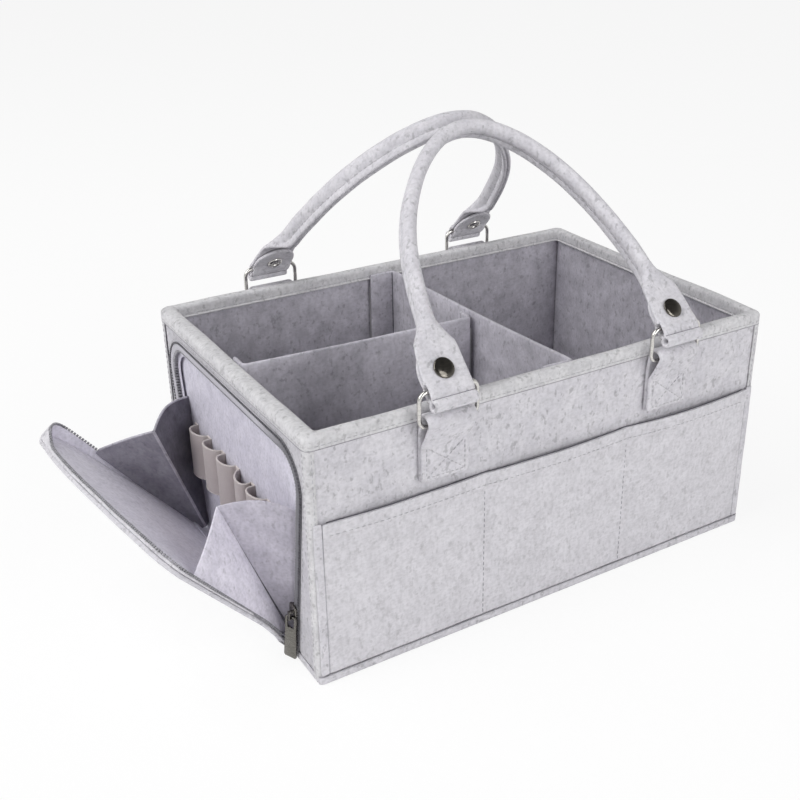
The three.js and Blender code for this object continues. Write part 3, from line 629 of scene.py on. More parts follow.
def sheet_mesh(grid, thick, ring=False):
    """Felt of even thickness on a grid of middle points, with half-round edges."""
    half = thick / 2
    rows = len(grid)
    columns = len(grid[0])
    normals = {}
    outwards = {}
    for row in range(rows):
        for column in range(columns):
            across, up = grid_headings(grid, row, column, ring)
            normals[row, column] = across.cross(up).normalized()
            out = Vector((0, 0, 0))
            if row in (0, rows - 1):
                out += up if row else -up
            if not ring and column in (0, columns - 1):
                out += across if column else -across
            outwards[row, column] = out.normalized()
    points = []
    for sign in (1, -1):
        points += [grid[row][column] + normal * sign * half for (row, column), normal in normals.items()]
    layer = rows * columns
    faces = quads(rows, columns, False, ring)
    faces += [[index + layer for index in reversed(face)] for face in faces]
    for loop in grid_edges(rows, columns, ring):
        top = [row * columns + column for row, column in loop]
        lines = [top]
        for step in range(1, EDGE_STEPS):
            angle = math.pi * step / EDGE_STEPS
            lines.append(range(len(points), len(points) + len(loop)))
            for row, column in loop:
                reach = normals[row, column] * math.cos(angle) + outwards[row, column] * math.sin(angle)
                points.append(grid[row][column] + reach * half)
        lines.append([index + layer for index in top])
        for low, high in zip(lines, lines[1:]):
            for place in range(len(loop)):
                following = (place + 1) % len(loop)
                faces.append([low[place], low[following], high[following], high[place]])
    return points, faces


def flat_grid(corner, along, up, columns, rows, unevenness=0.0):
    """Grid over a parallelogram, uneven towards its middle."""
    normal = along.cross(up).normalized()
    grid = []
    for row in range(rows + 1):
        share_up = row / rows
        points = []
        for column in range(columns + 1):
            share_along = column / columns
            point = corner + along * share_along + up * share_up
            middle = min(1, 9 * share_along * (1 - share_along)) * min(1, 9 * share_up * (1 - share_up))
            points.append(point + normal * wave(point, unevenness * middle))
        grid.append(points)
    return grid


def strip_grid(path, across, columns):
    """Grid of a strip whose middle line follows a path; across is its whole width as a vector."""
    return [
        [point + across * (column / columns - 0.5) for column in range(columns + 1)]
        for point in path
    ]


def skin_mesh(rings, closed_loop=False):
    """Surface through rings of points; open ends are closed by a fan."""
    count = len(rings[0])
    points = [point for ring in rings for point in ring]
    faces = quads(len(rings), count, closed_loop, True)
    if not closed_loop:
        for ring in (0, len(rings) - 1):
            points.append(sum(rings[ring], Vector((0, 0, 0))) / count)
            for side in range(count):
                faces.append([ring * count + side, ring * count + (side + 1) % count, len(points) - 1])
    return points, faces


def lathe_mesh(profile, steps):
    """Turned shape about local Z through (radius, height) points."""
    points = []
    for step in range(steps):
        angle = 2 * math.pi * step / steps
        points += [Vector((radius * math.cos(angle), radius * math.sin(angle), z)) for radius, z in profile]
    return points, quads(steps, len(profile), True)


def from_bmesh(shell):
    shell.verts.index_update()
    points = [vertex.co.copy() for vertex in shell.verts]
    faces = [[vertex.index for vertex in face.verts] for face in shell.faces]
    shell.free()
    return points, faces


def block_mesh(low, high, bevel, segments=2):
    """Block with rounded edges."""
    shell = bmesh.new()
    size = Vector(high) - Vector(low)
    middle = (Vector(high) + Vector(low)) / 2
    place = Matrix.Translation(middle) @ Matrix.Diagonal((size.x, size.y, size.z, 1))
    bmesh.ops.create_cube(shell, size=1, matrix=place)
    bmesh.ops.bevel(shell, geom=shell.edges[:], offset=bevel, segments=segments, affect="EDGES", profile=0.5)
    return from_bmesh(shell)


def plate_mesh(outline, window, thick, bevel):
    """Flat plate in Y and Z with a window and eased edges."""
    shell = bmesh.new()
    for loop in (outline, window):
        corners = [shell.verts.new((-thick / 2, y, z)) for y, z in loop]
        for place, corner in enumerate(corners):
            shell.edges.new((corner, corners[(place + 1) % len(corners)]))
    bmesh.ops.triangle_fill(shell, edges=shell.edges[:], use_beauty=True)
    grown = bmesh.ops.extrude_face_region(shell, geom=shell.faces[:])
    raised = [item for item in grown["geom"] if isinstance(item, bmesh.types.BMVert)]
    bmesh.ops.translate(shell, verts=raised, vec=(thick, 0, 0))
    bmesh.ops.recalc_face_normals(shell, faces=shell.faces)
    sharp = [edge for edge in shell.edges if edge.calc_face_angle(0) > math.radians(40)]
    bmesh.ops.bevel(shell, geom=sharp, offset=bevel, segments=2, affect="EDGES", profile=0.5)
    return from_bmesh(shell)


def tube_mesh(path, radius, sides=8):
    """Round cord along a line of points; radius is one size or a size for each share of the way."""
    rings = []
    last = len(path) - 1
    for place, point in enumerate(path):
        heading = (path[min(place + 1, last)] - path[max(place - 1, 0)]).normalized()
        lean = UP if abs(heading.z) < 0.7 else -LEFT
        side = heading.cross(lean).normalized()
        size = radius(place / last) if callable(radius) else radius
        rings.append(circle(point, side, side.cross(heading), size, sides))
    return skin_mesh(rings)


def stitch_mesh(start, end, normal):
    """One thread stitch that rises from the felt and dips back into it."""
    heading = (end - start).normalized()
    side = heading.cross(normal).normalized()
    up = side.cross(heading)
    rings = []
    for share, rise, girth in STITCH_SHAPE:
        centre = start.lerp(end, share) + up * rise * STITCH_RADIUS
        rings.append(circle(centre, side, up, girth * STITCH_RADIUS, 6))
    return skin_mesh(rings)


def stitches(path, normal, pitch=STITCH_PITCH, length=STITCH_LENGTH):
    """Row of stitches along a line of points; normal is one direction or one for each point."""
    fine = spaced(path, pitch)
    meshes = []
    for start, following in zip(fine, fine[1:]):
        facing = normal(start) if callable(normal) else normal
        meshes.append(stitch_mesh(start, start.lerp(following, length / pitch), facing))
    return joined(meshes)


# Box: base, walls, corner strips and rim

def make_slab(name, node, material, body, columns, rows, unevenness=0.0):
    """Flat sheet as large and as thick as a flat solid."""
    low, high = node_box(node)
    size = high - low
    thick = min(size)
    margin = Vector((thick, thick, thick))
    inner = size - margin
    sides = [Vector((inner.x, 0, 0)), Vector((0, inner.y, 0)), Vector((0, 0, inner.z))]
    del sides[list(size).index(thick)]
    grid = flat_grid(low + margin / 2, *sides, columns, rows, unevenness)
    return add_sheet(name, grid, thick, material, body, [node])


def make_base():
    base = make_slab("base_felt", "base_panel", felt, "box", 38, 25)
    # The base's upper face inside the box gets the darker felt: painted shade.
    paint_side(base, UP, inner_felt)


def make_walls():
    """Upright felt walls; their inner faces get the darker copy of the felt, which is painted shade of the
    inside.
    """
    for node, inward, material in (("front_wall", -FRONT, felt), ("back_wall", FRONT, felt),
                                   ("right_wall", LEFT, felt), ("left_wall", -LEFT, lining_felt)):
        wall = make_slab(f"{node}_felt", node, material, "box",
                         44, 22, WALL_WAVE)
        paint_side(wall, inward, inner_felt)


def corner_path(sign_x, sign_y):
    """Line round an upright edge of the box, in X and Y, on the outside of the walls."""
    lift = CORNER_FELT / 2 + LAYER_GAP
    x = sign_x * (half_length + lift)
    y = sign_y * (half_width + lift)
    path = [Vector((x - sign_x * CORNER_REACH, y, 0))]
    steps = 6
    for step in range(steps + 1):
        angle = math.pi / 2 * step / steps
        path.append(Vector((x - sign_x * CORNER_ROUND * (1 - math.sin(angle)),
                            y - sign_y * CORNER_ROUND * (1 - math.cos(angle)), 0)))
    path.append(Vector((x, y - sign_y * CORNER_REACH, 0)))
    return path


def make_corner_strips():
    """Felt strip sewn over each upright edge."""
    bottom = base_high.z + CORNER_FOOT
    top = rim_low.z + CORNER_UNDER_RIM
    rows = 26
    sewn = []
    for sign_x, sign_y in ((-1, -1), (-1, 1), (1, -1), (1, 1)):
        path = corner_path(sign_x, sign_y)
        grid = []
        for row in range(rows + 1):
            raised = [point + UP * (bottom + (top - bottom) * row / rows) for point in path]
            grid.append([spot + point.normalized() * wave(spot, CORNER_WAVE, 25)
                         for point, spot in zip(path, raised)])
        wall = "front" if sign_y < 0 else "back"
        name = f"corner_strip_{wall}_{'left' if sign_x < 0 else 'right'}"
        add_sheet(name, grid, CORNER_FELT, binding_felt, "box", [])
        out_x = Vector((sign_x, 0, 0))
        out_y = Vector((0, sign_y, 0))
        for point, inset, facing in ((path[0], out_x, out_y), (path[-1], out_y, out_x)):
            foot = point + inset * CORNER_STITCH_INSET + facing * CORNER_FELT / 2
            sewn.append(stitches(line(foot + UP * (bottom + 2), foot + UP * rim_low.z), facing))
    add_piece("corner_stitching", joined(sewn), thread, "box")


def rounded_rectangle(low_x, high_x, low_y, high_y, radius):
    """Loop of points round a rectangle with round corners."""
    side_steps = 40
    corner_steps = 6
    corners = ((high_x, high_y), (low_x, high_y), (low_x, low_y), (high_x, low_y))
    arcs = []
    for quarter, (x, y) in enumerate(corners):
        centre = Vector((x - math.copysign(radius, x), y - math.copysign(radius, y), 0))
        angles = [math.pi / 2 * (quarter + step / corner_steps) for step in range(corner_steps + 1)]
        arcs.append([centre + radius * Vector((math.cos(angle), math.sin(angle), 0)) for angle in angles])
    loop = []
    for arc, following in zip(arcs, arcs[1:] + arcs[:1]):
        loop += arc + line(arc[-1], following[0], side_steps)[1:-1]
    return loop


def box_normal(point):
    """Outward direction of the nearest upright face of the box."""
    if half_length - abs(point.x) < half_width - abs(point.y):
        return Vector((math.copysign(1, point.x), 0, 0))
    return Vector((0, math.copysign(1, point.y), 0))


def signed_power(value, power):
    return math.copysign(abs(value) ** power, value)


def rim_profile(height):
    """Section of the rim as (share of the way inwards, height above its lower edge)."""
    leg = [(0.06, 0), (0, 0.8), (0, RIM_STRAIGHT / 2), (0, RIM_STRAIGHT)]
    steps = 10
    crown = []
    for step in range(1, steps):
        angle = math.pi * step / steps
        share = (1 - signed_power(math.cos(angle), 0.8)) / 2
        crown.append((share, RIM_STRAIGHT + (height - RIM_STRAIGHT) * math.sin(angle) ** 0.7))
    return leg + crown + [(1 - share, rise) for share, rise in reversed(leg)]


def make_rim():
    """Binding folded over the wall tops, with a stitched lower edge on both sides."""
    bottom = rim_low.z
    height = rim_high.z - bottom
    reach = front_low.y - rim_low.y
    inner_x = half_length - wall_felt - reach
    inner_y = half_width - wall_felt - reach
    outer = rounded_rectangle(rim_low.x, rim_high.x, rim_low.y, rim_high.y, RIM_CORNER)
    inner = rounded_rectangle(left_high.x + reach, inner_x, -inner_y, inner_y, RIM_CORNER / 2)
    rings = []
    for start, end in zip(outer, inner):
        ring = []
        for share, rise in rim_profile(height):
            point = start.lerp(end, share) + UP * (bottom + rise)
            ring.append(point + UP * (wave(point, RIM_WAVE, 48) * rise / height - RIM_SAG))
        rings.append(ring)
    add_piece("rim_felt", skin_mesh(rings, True), binding_felt, "box", ["rim_binding"])
    outer += outer[:1]
    inner += inner[:1]
    sewn = []
    for loop, side in ((outer, 1), (inner, -1)):
        path = [point + UP * (bottom + RIM_STITCH_RISE) for point in loop]
        sewn.append(stitches(path, lambda point, side=side: box_normal(point) * side))
    add_piece("rim_stitching", joined(sewn), thread, "box")
    seam = [point + UP * (bottom - 0.3) - box_normal(point) * 0.4 for point in outer]
    add_piece("rim_seam", tube_mesh(seam, 0.4), seam_thread, "box")
    edge = [point + UP * (bottom + 0.3) - box_normal(point) * 0.3 for point in inner]
    add_piece("rim_inner_edge", tube_mesh(edge, 0.9), binding_felt, "box")


def make_base_edge():
    """Base felt turned up round the foot of the walls, with a dark seam along its upper edge."""
    reach = BASE_EDGE_REACH
    front = pocket_high.y - POCKET_FELT - 0.5
    loop = rounded_rectangle(-half_length - reach, half_length + reach, front, half_width + reach, 4)
    height = BASE_EDGE_HEIGHT
    profile = [(4.2, 0.3), (0.8, 0.3), (0.15, 1.0), (0, height * 0.45), (0.1, height * 0.8),
               (0.7, height - 0.2), (1.8, height), (4.2, height)]
    rings = []
    seam = []
    for point in loop:
        inwards = -box_normal(point)
        unevenness = wave(point, BASE_EDGE_WAVE, 30)
        rings.append([point + inwards * inset + UP * (z + unevenness * z / height) for inset, z in profile])
        seam.append(point + inwards * 0.5 + UP * (height + LAYER_GAP + unevenness))
    add_piece("base_edge_felt", skin_mesh(rings, True), felt, "box")
    add_piece("base_seam", tube_mesh(seam + seam[:1], 0.28), seam_thread, "box")


# Front pockets

pocket_seams = [pocket_low.x, -POCKET_SEAM_X, POCKET_SEAM_X, pocket_high.x]


def pocket_point(x, z, lift=0.0):
    """Middle of the pocket felt: sewn flat at the seams and gaping towards each mouth."""
    rise = max(0.0, (z - pocket_low.z) / (pocket_high.z - pocket_low.z))
    swell = 0.0
    for low, high, gape in zip(pocket_seams, pocket_seams[1:], POCKET_GAPES):
        if low <= x <= high:
            swell = gape * math.sin(math.pi * (x - low) / (high - low)) ** 0.8
    slack = wave(Vector((x, 40, z)), POCKET_WAVE, 40) * min(1, swell)
    return Vector((x, pocket_high.y - POCKET_FELT / 2 - swell * rise ** 1.5 - slack - lift, z))


def pocket_grid(ease, low_z, high_z, rows, lift=0.0):
    """Grid over all three pockets, eased in at its two ends."""
    columns = 96
    low_x = pocket_low.x + ease
    width = pocket_high.x - ease - low_x
    grid = []
    for row in range(rows + 1):
        z = low_z + (high_z - low_z) * row / rows
        places = [low_x + width * column / columns for column in range(columns + 1)]
        grid.append([pocket_point(x, z, lift) for x in places])
    return grid


def make_front_pockets():
    half = POCKET_FELT / 2
    foot = BASE_EDGE_HEIGHT + POCKET_FOOT_GAP
    panel = pocket_grid(half, foot + half, pocket_high.z - half, 26)
    add_sheet("pocket_panel_felt", panel, POCKET_FELT, pocket_felt, "box", ["front_pocket_panel"])
    ease = POCKET_HEM_FELT / 2
    top = pocket_high.z - ease + 0.4
    hem = pocket_grid(ease, top - POCKET_HEM, top, 3, half + ease - 0.25)
    add_sheet("pocket_hem", hem, POCKET_HEM_FELT, pocket_felt, "box", [])
    seams = []
    for x in (-POCKET_SEAM_X, POCKET_SEAM_X):
        rise = [pocket_point(x, foot + 2 + 4 * step, half + 0.1) for step in range(27)]
        seams.append(stitches(rise, FRONT))
    add_piece("pocket_seams", joined(seams), seam_thread, "box")
    count = 90
    reach = pocket_high.x - POCKET_STITCH_MARGIN
    across = [-reach + 2 * reach * step / count for step in range(count + 1)]
    stitch_z = top - POCKET_HEM + POCKET_HEM_STITCH_RISE
    sewn = [pocket_point(x, stitch_z, half + POCKET_HEM_FELT - 0.2) for x in across]
    add_piece("pocket_stitching", stitches(sewn, FRONT), thread, "box")
    # A dark tube along each mouth is painted shadow in the gap behind the pocket's top edge.
    mouth = [pocket_point(x, top - 0.3, -half - 0.2) for x in across]
    edges = [make_pocket_side(sign, foot, top) for sign in (-1, 1)]
    add_piece("pocket_mouth_shadow_line", tube_mesh(mouth, 0.45), painted_shadow_felt, "box")
    add_piece("pocket_edge_lines", joined(edges), seam_thread, "box")


def make_pocket_side(sign, foot, top):
    """Strip that closes one end of the pocket panel; gives the dark line between the two."""
    thick = POCKET_SIDE_FELT
    inner = pocket_high.x + 0.4
    outer = half_length - 1.6
    face_y = pocket_high.y - POCKET_FELT
    middle = Vector((sign * (inner + outer) / 2, face_y + thick / 2, 0))
    path = line(middle + UP * (foot + 1), middle + UP * top, 30)
    path = [point - FRONT * wave(point, 0.4, 18) for point in path]
    grid = strip_grid(path, Vector((outer - inner - thick / 2, 0, 0)), 4)
    name = f"pocket_side_{'left' if sign < 0 else 'right'}"
    add_sheet(name, grid, thick, felt, "box", [])
    seam = Vector((sign * pocket_high.x, face_y + 0.9, 0))
    return tube_mesh(line(seam + UP * (foot + 1), seam + UP * top, 4), 0.6)


# Ring tabs, rings and handles

def side_frame(place):
    """Turns the front side's places into those of a long side."""
    return Matrix.Rotation(0 if place == "front" else math.pi, 4, "Z")


def make_tab(end, place, centre_x):
    """Felt strip folded into a loop for the ring and sewn to the wall."""
    low, high = node_box("wall_tab_front_left")
    bar = joint_places["front_ring_swing"]
    loop_z = high.z - TAB_LOOP_INNER - TAB_FELT
    radius = TAB_LOOP_INNER + TAB_FELT / 2
    inner_y = high.y - TAB_FELT / 2
    outer_y = inner_y - TAB_FELT
    bottom = low.z + TAB_FELT / 2
    join_z = loop_z - TAB_JOIN_DROP
    side = [(inner_y, bottom), (inner_y, join_z), (inner_y, loop_z - 12)]
    steps = 10
    for step in range(steps + 1):
        angle = math.pi * step / steps
        side.append((bar.y + radius * math.cos(angle), loop_z + radius * math.sin(angle)))
    side += [(outer_y - TAB_BELLY, loop_z - 11), (outer_y, join_z),
             (outer_y, (bottom + join_z) / 2), (outer_y, bottom)]
    path = spaced(rounded([Vector((centre_x, y, z)) for y, z in side]), 1.6)
    width = high.x - low.x - TAB_FELT
    turn = side_frame(place)
    add_sheet(f"tab_felt_{end}", strip_grid(path, Vector((width, 0, 0)), 12), TAB_FELT, felt, "box",
              [f"wall_tab_{end}"], turn)
    half = width / 2 - TAB_BOX_MARGIN
    low_z = bottom + TAB_BOX_MARGIN
    high_z = low_z + TAB_BOX_HEIGHT
    corners = [Vector((centre_x + x, outer_y - TAB_FELT / 2, z))
               for x, z in ((-half, low_z), (half, low_z), (half, high_z), (-half, high_z))]
    runs = list(zip(corners, corners[1:] + corners[:1]))
    runs += [(corners[0], corners[2]), (corners[1], corners[3])]
    sewn = joined([stitches(line(*run), FRONT, TAB_STITCH_PITCH, TAB_STITCH_LENGTH) for run in runs])
    add_piece(f"tab_stitching_{end}", moved(sewn, turn), thread, "box")


def make_ring(end, place, centre_x):
    """Wire ring: a rounded rectangle of round wire."""
    low, high = node_box("ring_front_left")
    wire = (high.y - low.y) / 2
    half_x = (high.x - low.x) / 2 - wire - RING_CORNER
    half_z = (high.z - low.z) / 2 - wire - RING_CORNER
    middle = (low + high) / 2
    steps = 8
    rings = []
    for quarter, (sign_x, sign_z) in enumerate(((1, 1), (-1, 1), (-1, -1), (1, -1))):
        centre = Vector((centre_x + sign_x * half_x, middle.y, middle.z + sign_z * half_z))
        for step in range(steps + 1):
            angle = math.pi / 2 * (quarter + step / steps)
            out = Vector((math.cos(angle), 0, math.sin(angle)))
            rings.append(circle(centre + out * RING_CORNER, out, -FRONT, wire, 16))
    mesh = moved(skin_mesh(rings, True), side_frame(place))
    add_piece(f"ring_wire_{end}", mesh, nickel, f"{place}_rings", [f"ring_{end}"])


def handle_line(share):
    """Point and heading on the left half of the handle's middle line, in X and Z."""
    bottom = HANDLE_FOLD_JOIN
    ends = [Vector((-STRAP_CENTRE_X, bottom)),
            Vector((-STRAP_CENTRE_X + HANDLE_LEG_INSET, bottom + HANDLE_LEG_PULL)),
            Vector((-HANDLE_TOP_PULL, HANDLE_HEIGHT)),
            Vector((0, HANDLE_HEIGHT))]
    rest = 1 - share
    point = (ends[0] * rest ** 3 + ends[1] * 3 * rest ** 2 * share
             + ends[2] * 3 * rest * share ** 2 + ends[3] * share ** 3)
    heading = ((ends[1] - ends[0]) * rest ** 2 + (ends[2] - ends[1]) * 2 * rest * share
               + (ends[3] - ends[2]) * share ** 2)
    return point, heading.normalized()


def handle_stations():
    """Points and headings along the whole arch, which leans a little to one side above its tabs."""
    steps = 60
    left = [handle_line(step / steps) for step in range(steps + 1)]
    right = [(Vector((-point.x, point.y)), Vector((heading.x, -heading.y))) for point, heading in left[:-1]]
    stations = []
    for point, heading in left + right[::-1]:
        rise = smoothstep(point.y, HANDLE_TAB_STRAIGHT, HANDLE_HEIGHT * 0.7)
        sway = rise * (HANDLE_SWAY + HANDLE_SPREAD * point.x / STRAP_CENTRE_X)
        stations.append((point + Vector((sway, 0)), heading))
    return stations


def strap_outline():
    """Half outline of the strap as (across, depth): round the cord, pinched, then its sewn edge."""
    return [Vector(point) for point in (
        (0, -6), (1.9, -5.6), (3.5, -4.4), (4.6, -2.7), (5.0, -0.5), (4.8, 1.5), (4.1, 3.3), (3.1, 4.7),
        (2.6, 5.5), (2.95, 6.3), (3.15, 7.3), (3.15, 9.6), (2.85, 10.5), (2.0, 11.0), (0.9, 10.9), (0, 9.6),
    )]


def across_strap(point, heading, spot):
    """Place of a spot (across, depth) of the strap's section at a station."""
    return Vector((point.x + heading.y * spot.x, spot.y, point.y - heading.x * spot.x))


def handle_stitches(stations):
    """Row of stitches on both faces of the strap, where it is pinched."""
    above_tabs = [station for station in stations if station[0].y >= HANDLE_TAPER_END - 2]
    sewn = []
    for sign in (-1, 1):
        spot = Vector((sign * STRAP_SEAM[0], STRAP_SEAM[1]))
        path = [across_strap(*station, spot) for station in above_tabs]

        def facing(place, path=path, sign=sign):
            nearest = min(range(len(path)), key=lambda index: (path[index] - place).length)
            heading = above_tabs[nearest][1]
            return Vector((heading.y * sign, 0, -heading.x * sign)).normalized()

        sewn.append(stitches(path, facing))
    return joined(sewn)


def handle_section(point, heading):
    """Cross-section of the handle: one flat layer at the tab, and a strap round a cord above it."""
    taper = smoothstep(point.y, HANDLE_TAB_STRAIGHT, HANDLE_TAPER_END)
    outline = strap_outline()
    last = len(outline) - 1
    narrow = 1 - HANDLE_TAB_NARROWING * min(1, point.y / HANDLE_TAB_STRAIGHT)
    half = []
    for place, strap in enumerate(outline):
        angle = math.pi * (place / last - 0.5)
        flat = Vector((
            HANDLE_TAB_WIDTH / 2 * narrow * signed_power(math.cos(angle), HANDLE_TAB_SQUARENESS),
            HANDLE_FELT / 2 * (0.9 * signed_power(math.sin(angle), HANDLE_TAB_SQUARENESS) - 1),
        ))
        half.append(flat.lerp(strap, taper))
    mirrored = [Vector((-spot.x, spot.y)) for spot in half[-2:0:-1]]
    ring = [across_strap(point, heading, spot) for spot in half + mirrored]
    return [place - FRONT * wave(place, STRAP_WAVE, 18) * taper for place in ring]


def handle_fold(centre_x):
    """Felt that passes round the ring's upper bar, is pinched below it and ends in a loose roll."""
    side = [(-1.5, 9), (-2.3, 5), (-3.2, 1.5), (-3.1, -3), (-2.4, -5.4), (-1.35, FOLD_CREASE), (-3.0, -8.2),
            (-3.9, -10), (-2.8, -12)]
    whole = side + [(0, -12.9)] + [(-depth, height) for depth, height in reversed(side)]
    path = spaced(rounded([Vector((centre_x, depth, height)) for depth, height in whole]), 0.8)
    thick = HANDLE_FELT - 0.4
    return sheet_mesh(strip_grid(path, Vector((HANDLE_FOLD_WIDTH - thick, 0, 0)), 10), thick)


def handle_tongue(centre_x):
    """Round inner end of the strap, turned up behind the tab."""
    rows = 16
    columns = 12
    thick = HANDLE_FELT - 0.3
    grid = []
    for row in range(rows + 1):
        height = HANDLE_FOLD_JOIN + (TONGUE_TOP - HANDLE_FOLD_JOIN) * row / rows
        rounding = max(0, (height - TONGUE_ROUND_START) / (TONGUE_TOP - TONGUE_ROUND_START))
        half = (HANDLE_TAB_WIDTH / 2 - thick / 2 - 0.5) * math.sqrt(max(0.04, 1 - rounding ** 2.2))
        depth = HANDLE_FELT / 2 + 0.2 + (height / TONGUE_TOP) ** 2
        grid.append(line((centre_x - half, depth, height), (centre_x + half, depth, height), columns))
    return sheet_mesh(grid, thick)


def make_handle(place):
    """Stuffed strap with its two folded ends; gives the frame that its snaps sit in."""
    lean = Matrix.Translation(joint_places["front_handle_swing"]) @ Matrix.Rotation(-HANDLE_LEAN, 4, "X")
    frame_here = side_frame(place) @ lean
    body = f"{place}_grip"
    stations = handle_stations()
    parts = [skin_mesh([handle_section(*station) for station in stations])]
    # Dark tubes along the fold creases are painted shadow.
    crease_shadows = []
    half = HANDLE_FOLD_WIDTH / 2 - 0.6
    for centre_x in (-STRAP_CENTRE_X, STRAP_CENTRE_X):
        parts += [handle_fold(centre_x), handle_tongue(centre_x)]
        for depth in (-CREASE_SHADOW_DEPTH, CREASE_SHADOW_DEPTH):
            ends = line((centre_x - half, depth, FOLD_CREASE), (centre_x + half, depth, FOLD_CREASE), 4)
            crease_shadows.append(tube_mesh(ends, CREASE_SHADOW_RADIUS))
    add_piece(f"{place}_handle_crease_shadows", moved(joined(crease_shadows), frame_here), painted_shadow_felt, body)
    handle = add_piece(f"{place}_handle_felt", moved(joined(parts), frame_here), felt, body,
                       [f"{place}_handle"])
    add_piece(f"{place}_handle_stitching", moved(handle_stitches(stations), frame_here), thread, body)
    return frame_here


def snap_cap():
    """Domed cap with a rolled edge, about local Z."""
    radius = CAP_RADIUS
    profile = [(0.001, -0.1), (radius - 0.8, -0.1), (radius - 0.1, 0.2), (radius, 0.6), (radius - 0.25, 1.0)]
    steps = 10
    for step in range(1, steps):
        angle = math.pi / 2 * step / steps
        profile.append(((radius - 0.45) * math.cos(angle), 1.0 + CAP_DOME * math.sin(angle)))
    profile.append((0.001, 1.0 + CAP_DOME))
    return lathe_mesh(profile, 48)


def snap_socket():
    """Ring-shaped socket with the riveted end of the post, about local Z."""
    profile = [(0.001, 1.5), (1.6, 1.45), (2.0, 1.1), (2.1, 0.5), (2.6, 0.5), (3.0, 1.6), (3.8, 2.2),
               (4.8, 2.0), (5.6, 1.2), (6.0, 0.4), (5.9, 0.0), (0.001, 0.0)]
    return lathe_mesh(profile, 40)


def make_snap(end, place, centre_x, frame_here):
    for name, node, mesh, material, sign in (("cap", "snap_cap", snap_cap(), snap_metal, -1),
                                             ("socket", "snap_socket", snap_socket(), nickel, 1)):
        spot = Matrix.Translation((centre_x, sign * (HANDLE_FELT + LAYER_GAP), SNAP_HEIGHT))
        turn = frame_here @ spot @ Matrix.Rotation(-sign * math.pi / 2, 4, "X")
        add_piece(f"{name}_{end}", moved(mesh, turn), material, f"{place}_grip", [f"{node}_{end}"])


def make_strap_side(place):
    frame_here = make_handle(place)
    for sign in (-1, 1):
        is_left = (sign < 0) == (place == "front")
        end = f"{place}_{'left' if is_left else 'right'}"
        centre_x = sign * STRAP_CENTRE_X
        make_tab(end, place, centre_x)
        make_ring(end, place, centre_x)
        make_snap(end, place, centre_x, frame_here)


# Dividers

def bent_path(corners, radius):
    """Line through corners in X and Y with round bends."""
    path = [corners[0]]
    steps = 5
    for before, corner, after in zip(corners, corners[1:], corners[2:]):
        start = corner + (before - corner).normalized() * radius
        end = corner + (after - corner).normalized() * radius
        for step in range(steps + 1):
            t = step / steps
            path.append(start * (1 - t) ** 2 + corner * 2 * t * (1 - t) + end * t ** 2)
    path.append(corners[-1])
    return path


def divider_skew(y):
    """The cross divider stands a little askew, with its back end further left."""
    return -DIVIDER_SKEW * y / half_width


def make_divider(node, body, corners):
    """Divider with bent end flanges; its first end stands a little higher, as if not pushed right down."""
    low, high = node_box(node)
    bottom = low.z + DIVIDER_FELT / 2
    path = spaced(bent_path([Vector(corner) for corner in corners], DIVIDER_BEND), 4.0)
    rows = 22
    grid = []
    for row in range(rows + 1):
        share = row / rows
        points = []
        for place, (x, y) in enumerate(path):
            along = place / (len(path) - 1)
            top = high.z - DIVIDER_FELT / 2 + DIVIDER_RISE * (1 - along) ** 2
            z = bottom + (top - bottom) * share
            lean = wave(Vector((x, y, z)), DIVIDER_WAVE, 70) * min(1, 12 * along * (1 - along)) * share
            if node == "long_divider":
                points.append(Vector((x, y + lean, z)))
            else:
                points.append(Vector((x + lean + divider_skew(y), y, z)))
        grid.append(points)
    # Dividers use the darker inside felt: painted shade.
    add_sheet(f"{node}_felt", grid, DIVIDER_FELT, inner_felt, body, [node])


def make_dividers():
    half = DIVIDER_FELT / 2
    low, high = node_box("cross_divider")
    end_x = low.x + half
    body_x = high.x - DIVIDER_INSET
    flange_y = high.y - half
    make_divider("cross_divider", "cross_partition", [
        (end_x, -flange_y), (body_x, -flange_y), (body_x, flange_y), (end_x, flange_y),
    ])
    # A dark tube in the flange's bend is painted shadow of the crease.
    bend = Vector((body_x - 1.7 + divider_skew(flange_y), flange_y - 1.7, 0))
    crease_shadow = tube_mesh(line(bend + UP * (low.z + 2), bend + UP * (high.z - 1), 4), CREASE_SHADOW_RADIUS)
    add_piece("cross_divider_crease_shadow", crease_shadow, painted_shadow_felt, "cross_partition")
    low, high = node_box("long_divider")
    body_y = low.y + DIVIDER_INSET
    end_y = high.y - half
    make_divider("long_divider", "long_partition", [
        (low.x + half, end_y), (low.x + half, body_y), (high.x - half, body_y), (high.x - half, end_y),
    ])


def make_grip_strips():
    """Hook-and-loop tapes under the dividers' flanges."""
    for place, body, carrier in (("front", "box", "front_wall"), ("back", "box", "back_wall"),
                                 ("left", "box", "left_wall"),
                                 ("divider", "cross_partition", "cross_divider")):
        node = f"grip_strip_{place}"
        make_slab(f"{node}_tape", node, grip_tape, body, 6, 30)


# Zipped end: border, zip, flap, gussets and loops

def opening_side(height):
    return hinge_half + height * math.tan(OPENING_SPREAD)


def opening_outline(inset, start, side_steps=24, arc_steps=12, top_steps=36):
    """Opening's outline as (y, height) points, from the back side's foot over the top to the front's."""
    radius = OPENING_CORNER - inset
    foot = Vector((opening_side(start) - inset / math.cos(OPENING_SPREAD), start))
    arc = []
    for step in range(arc_steps + 1):
        angle = -OPENING_SPREAD + (math.pi / 2 + OPENING_SPREAD) * step / arc_steps
        arc.append(Vector((corner_y + radius * math.cos(angle), corner_height + radius * math.sin(angle))))
    right = line(foot, arc[0], side_steps)[:-1] + arc
    left = [Vector((-point.x, point.y)) for point in reversed(right)]
    return right + line(right[-1], left[0], top_steps)[1:-1] + left


def wall_point(x, point):
    return Vector((x, point.x, hinge.z + point.y))


def flap_bow(y, height):
    half = corner_y + OPENING_CORNER - FLAP_INSET
    share = min(abs(y) / half, 1)
    return FLAP_BOW * (height / opening_height) ** 2 * (1 - share ** 2)


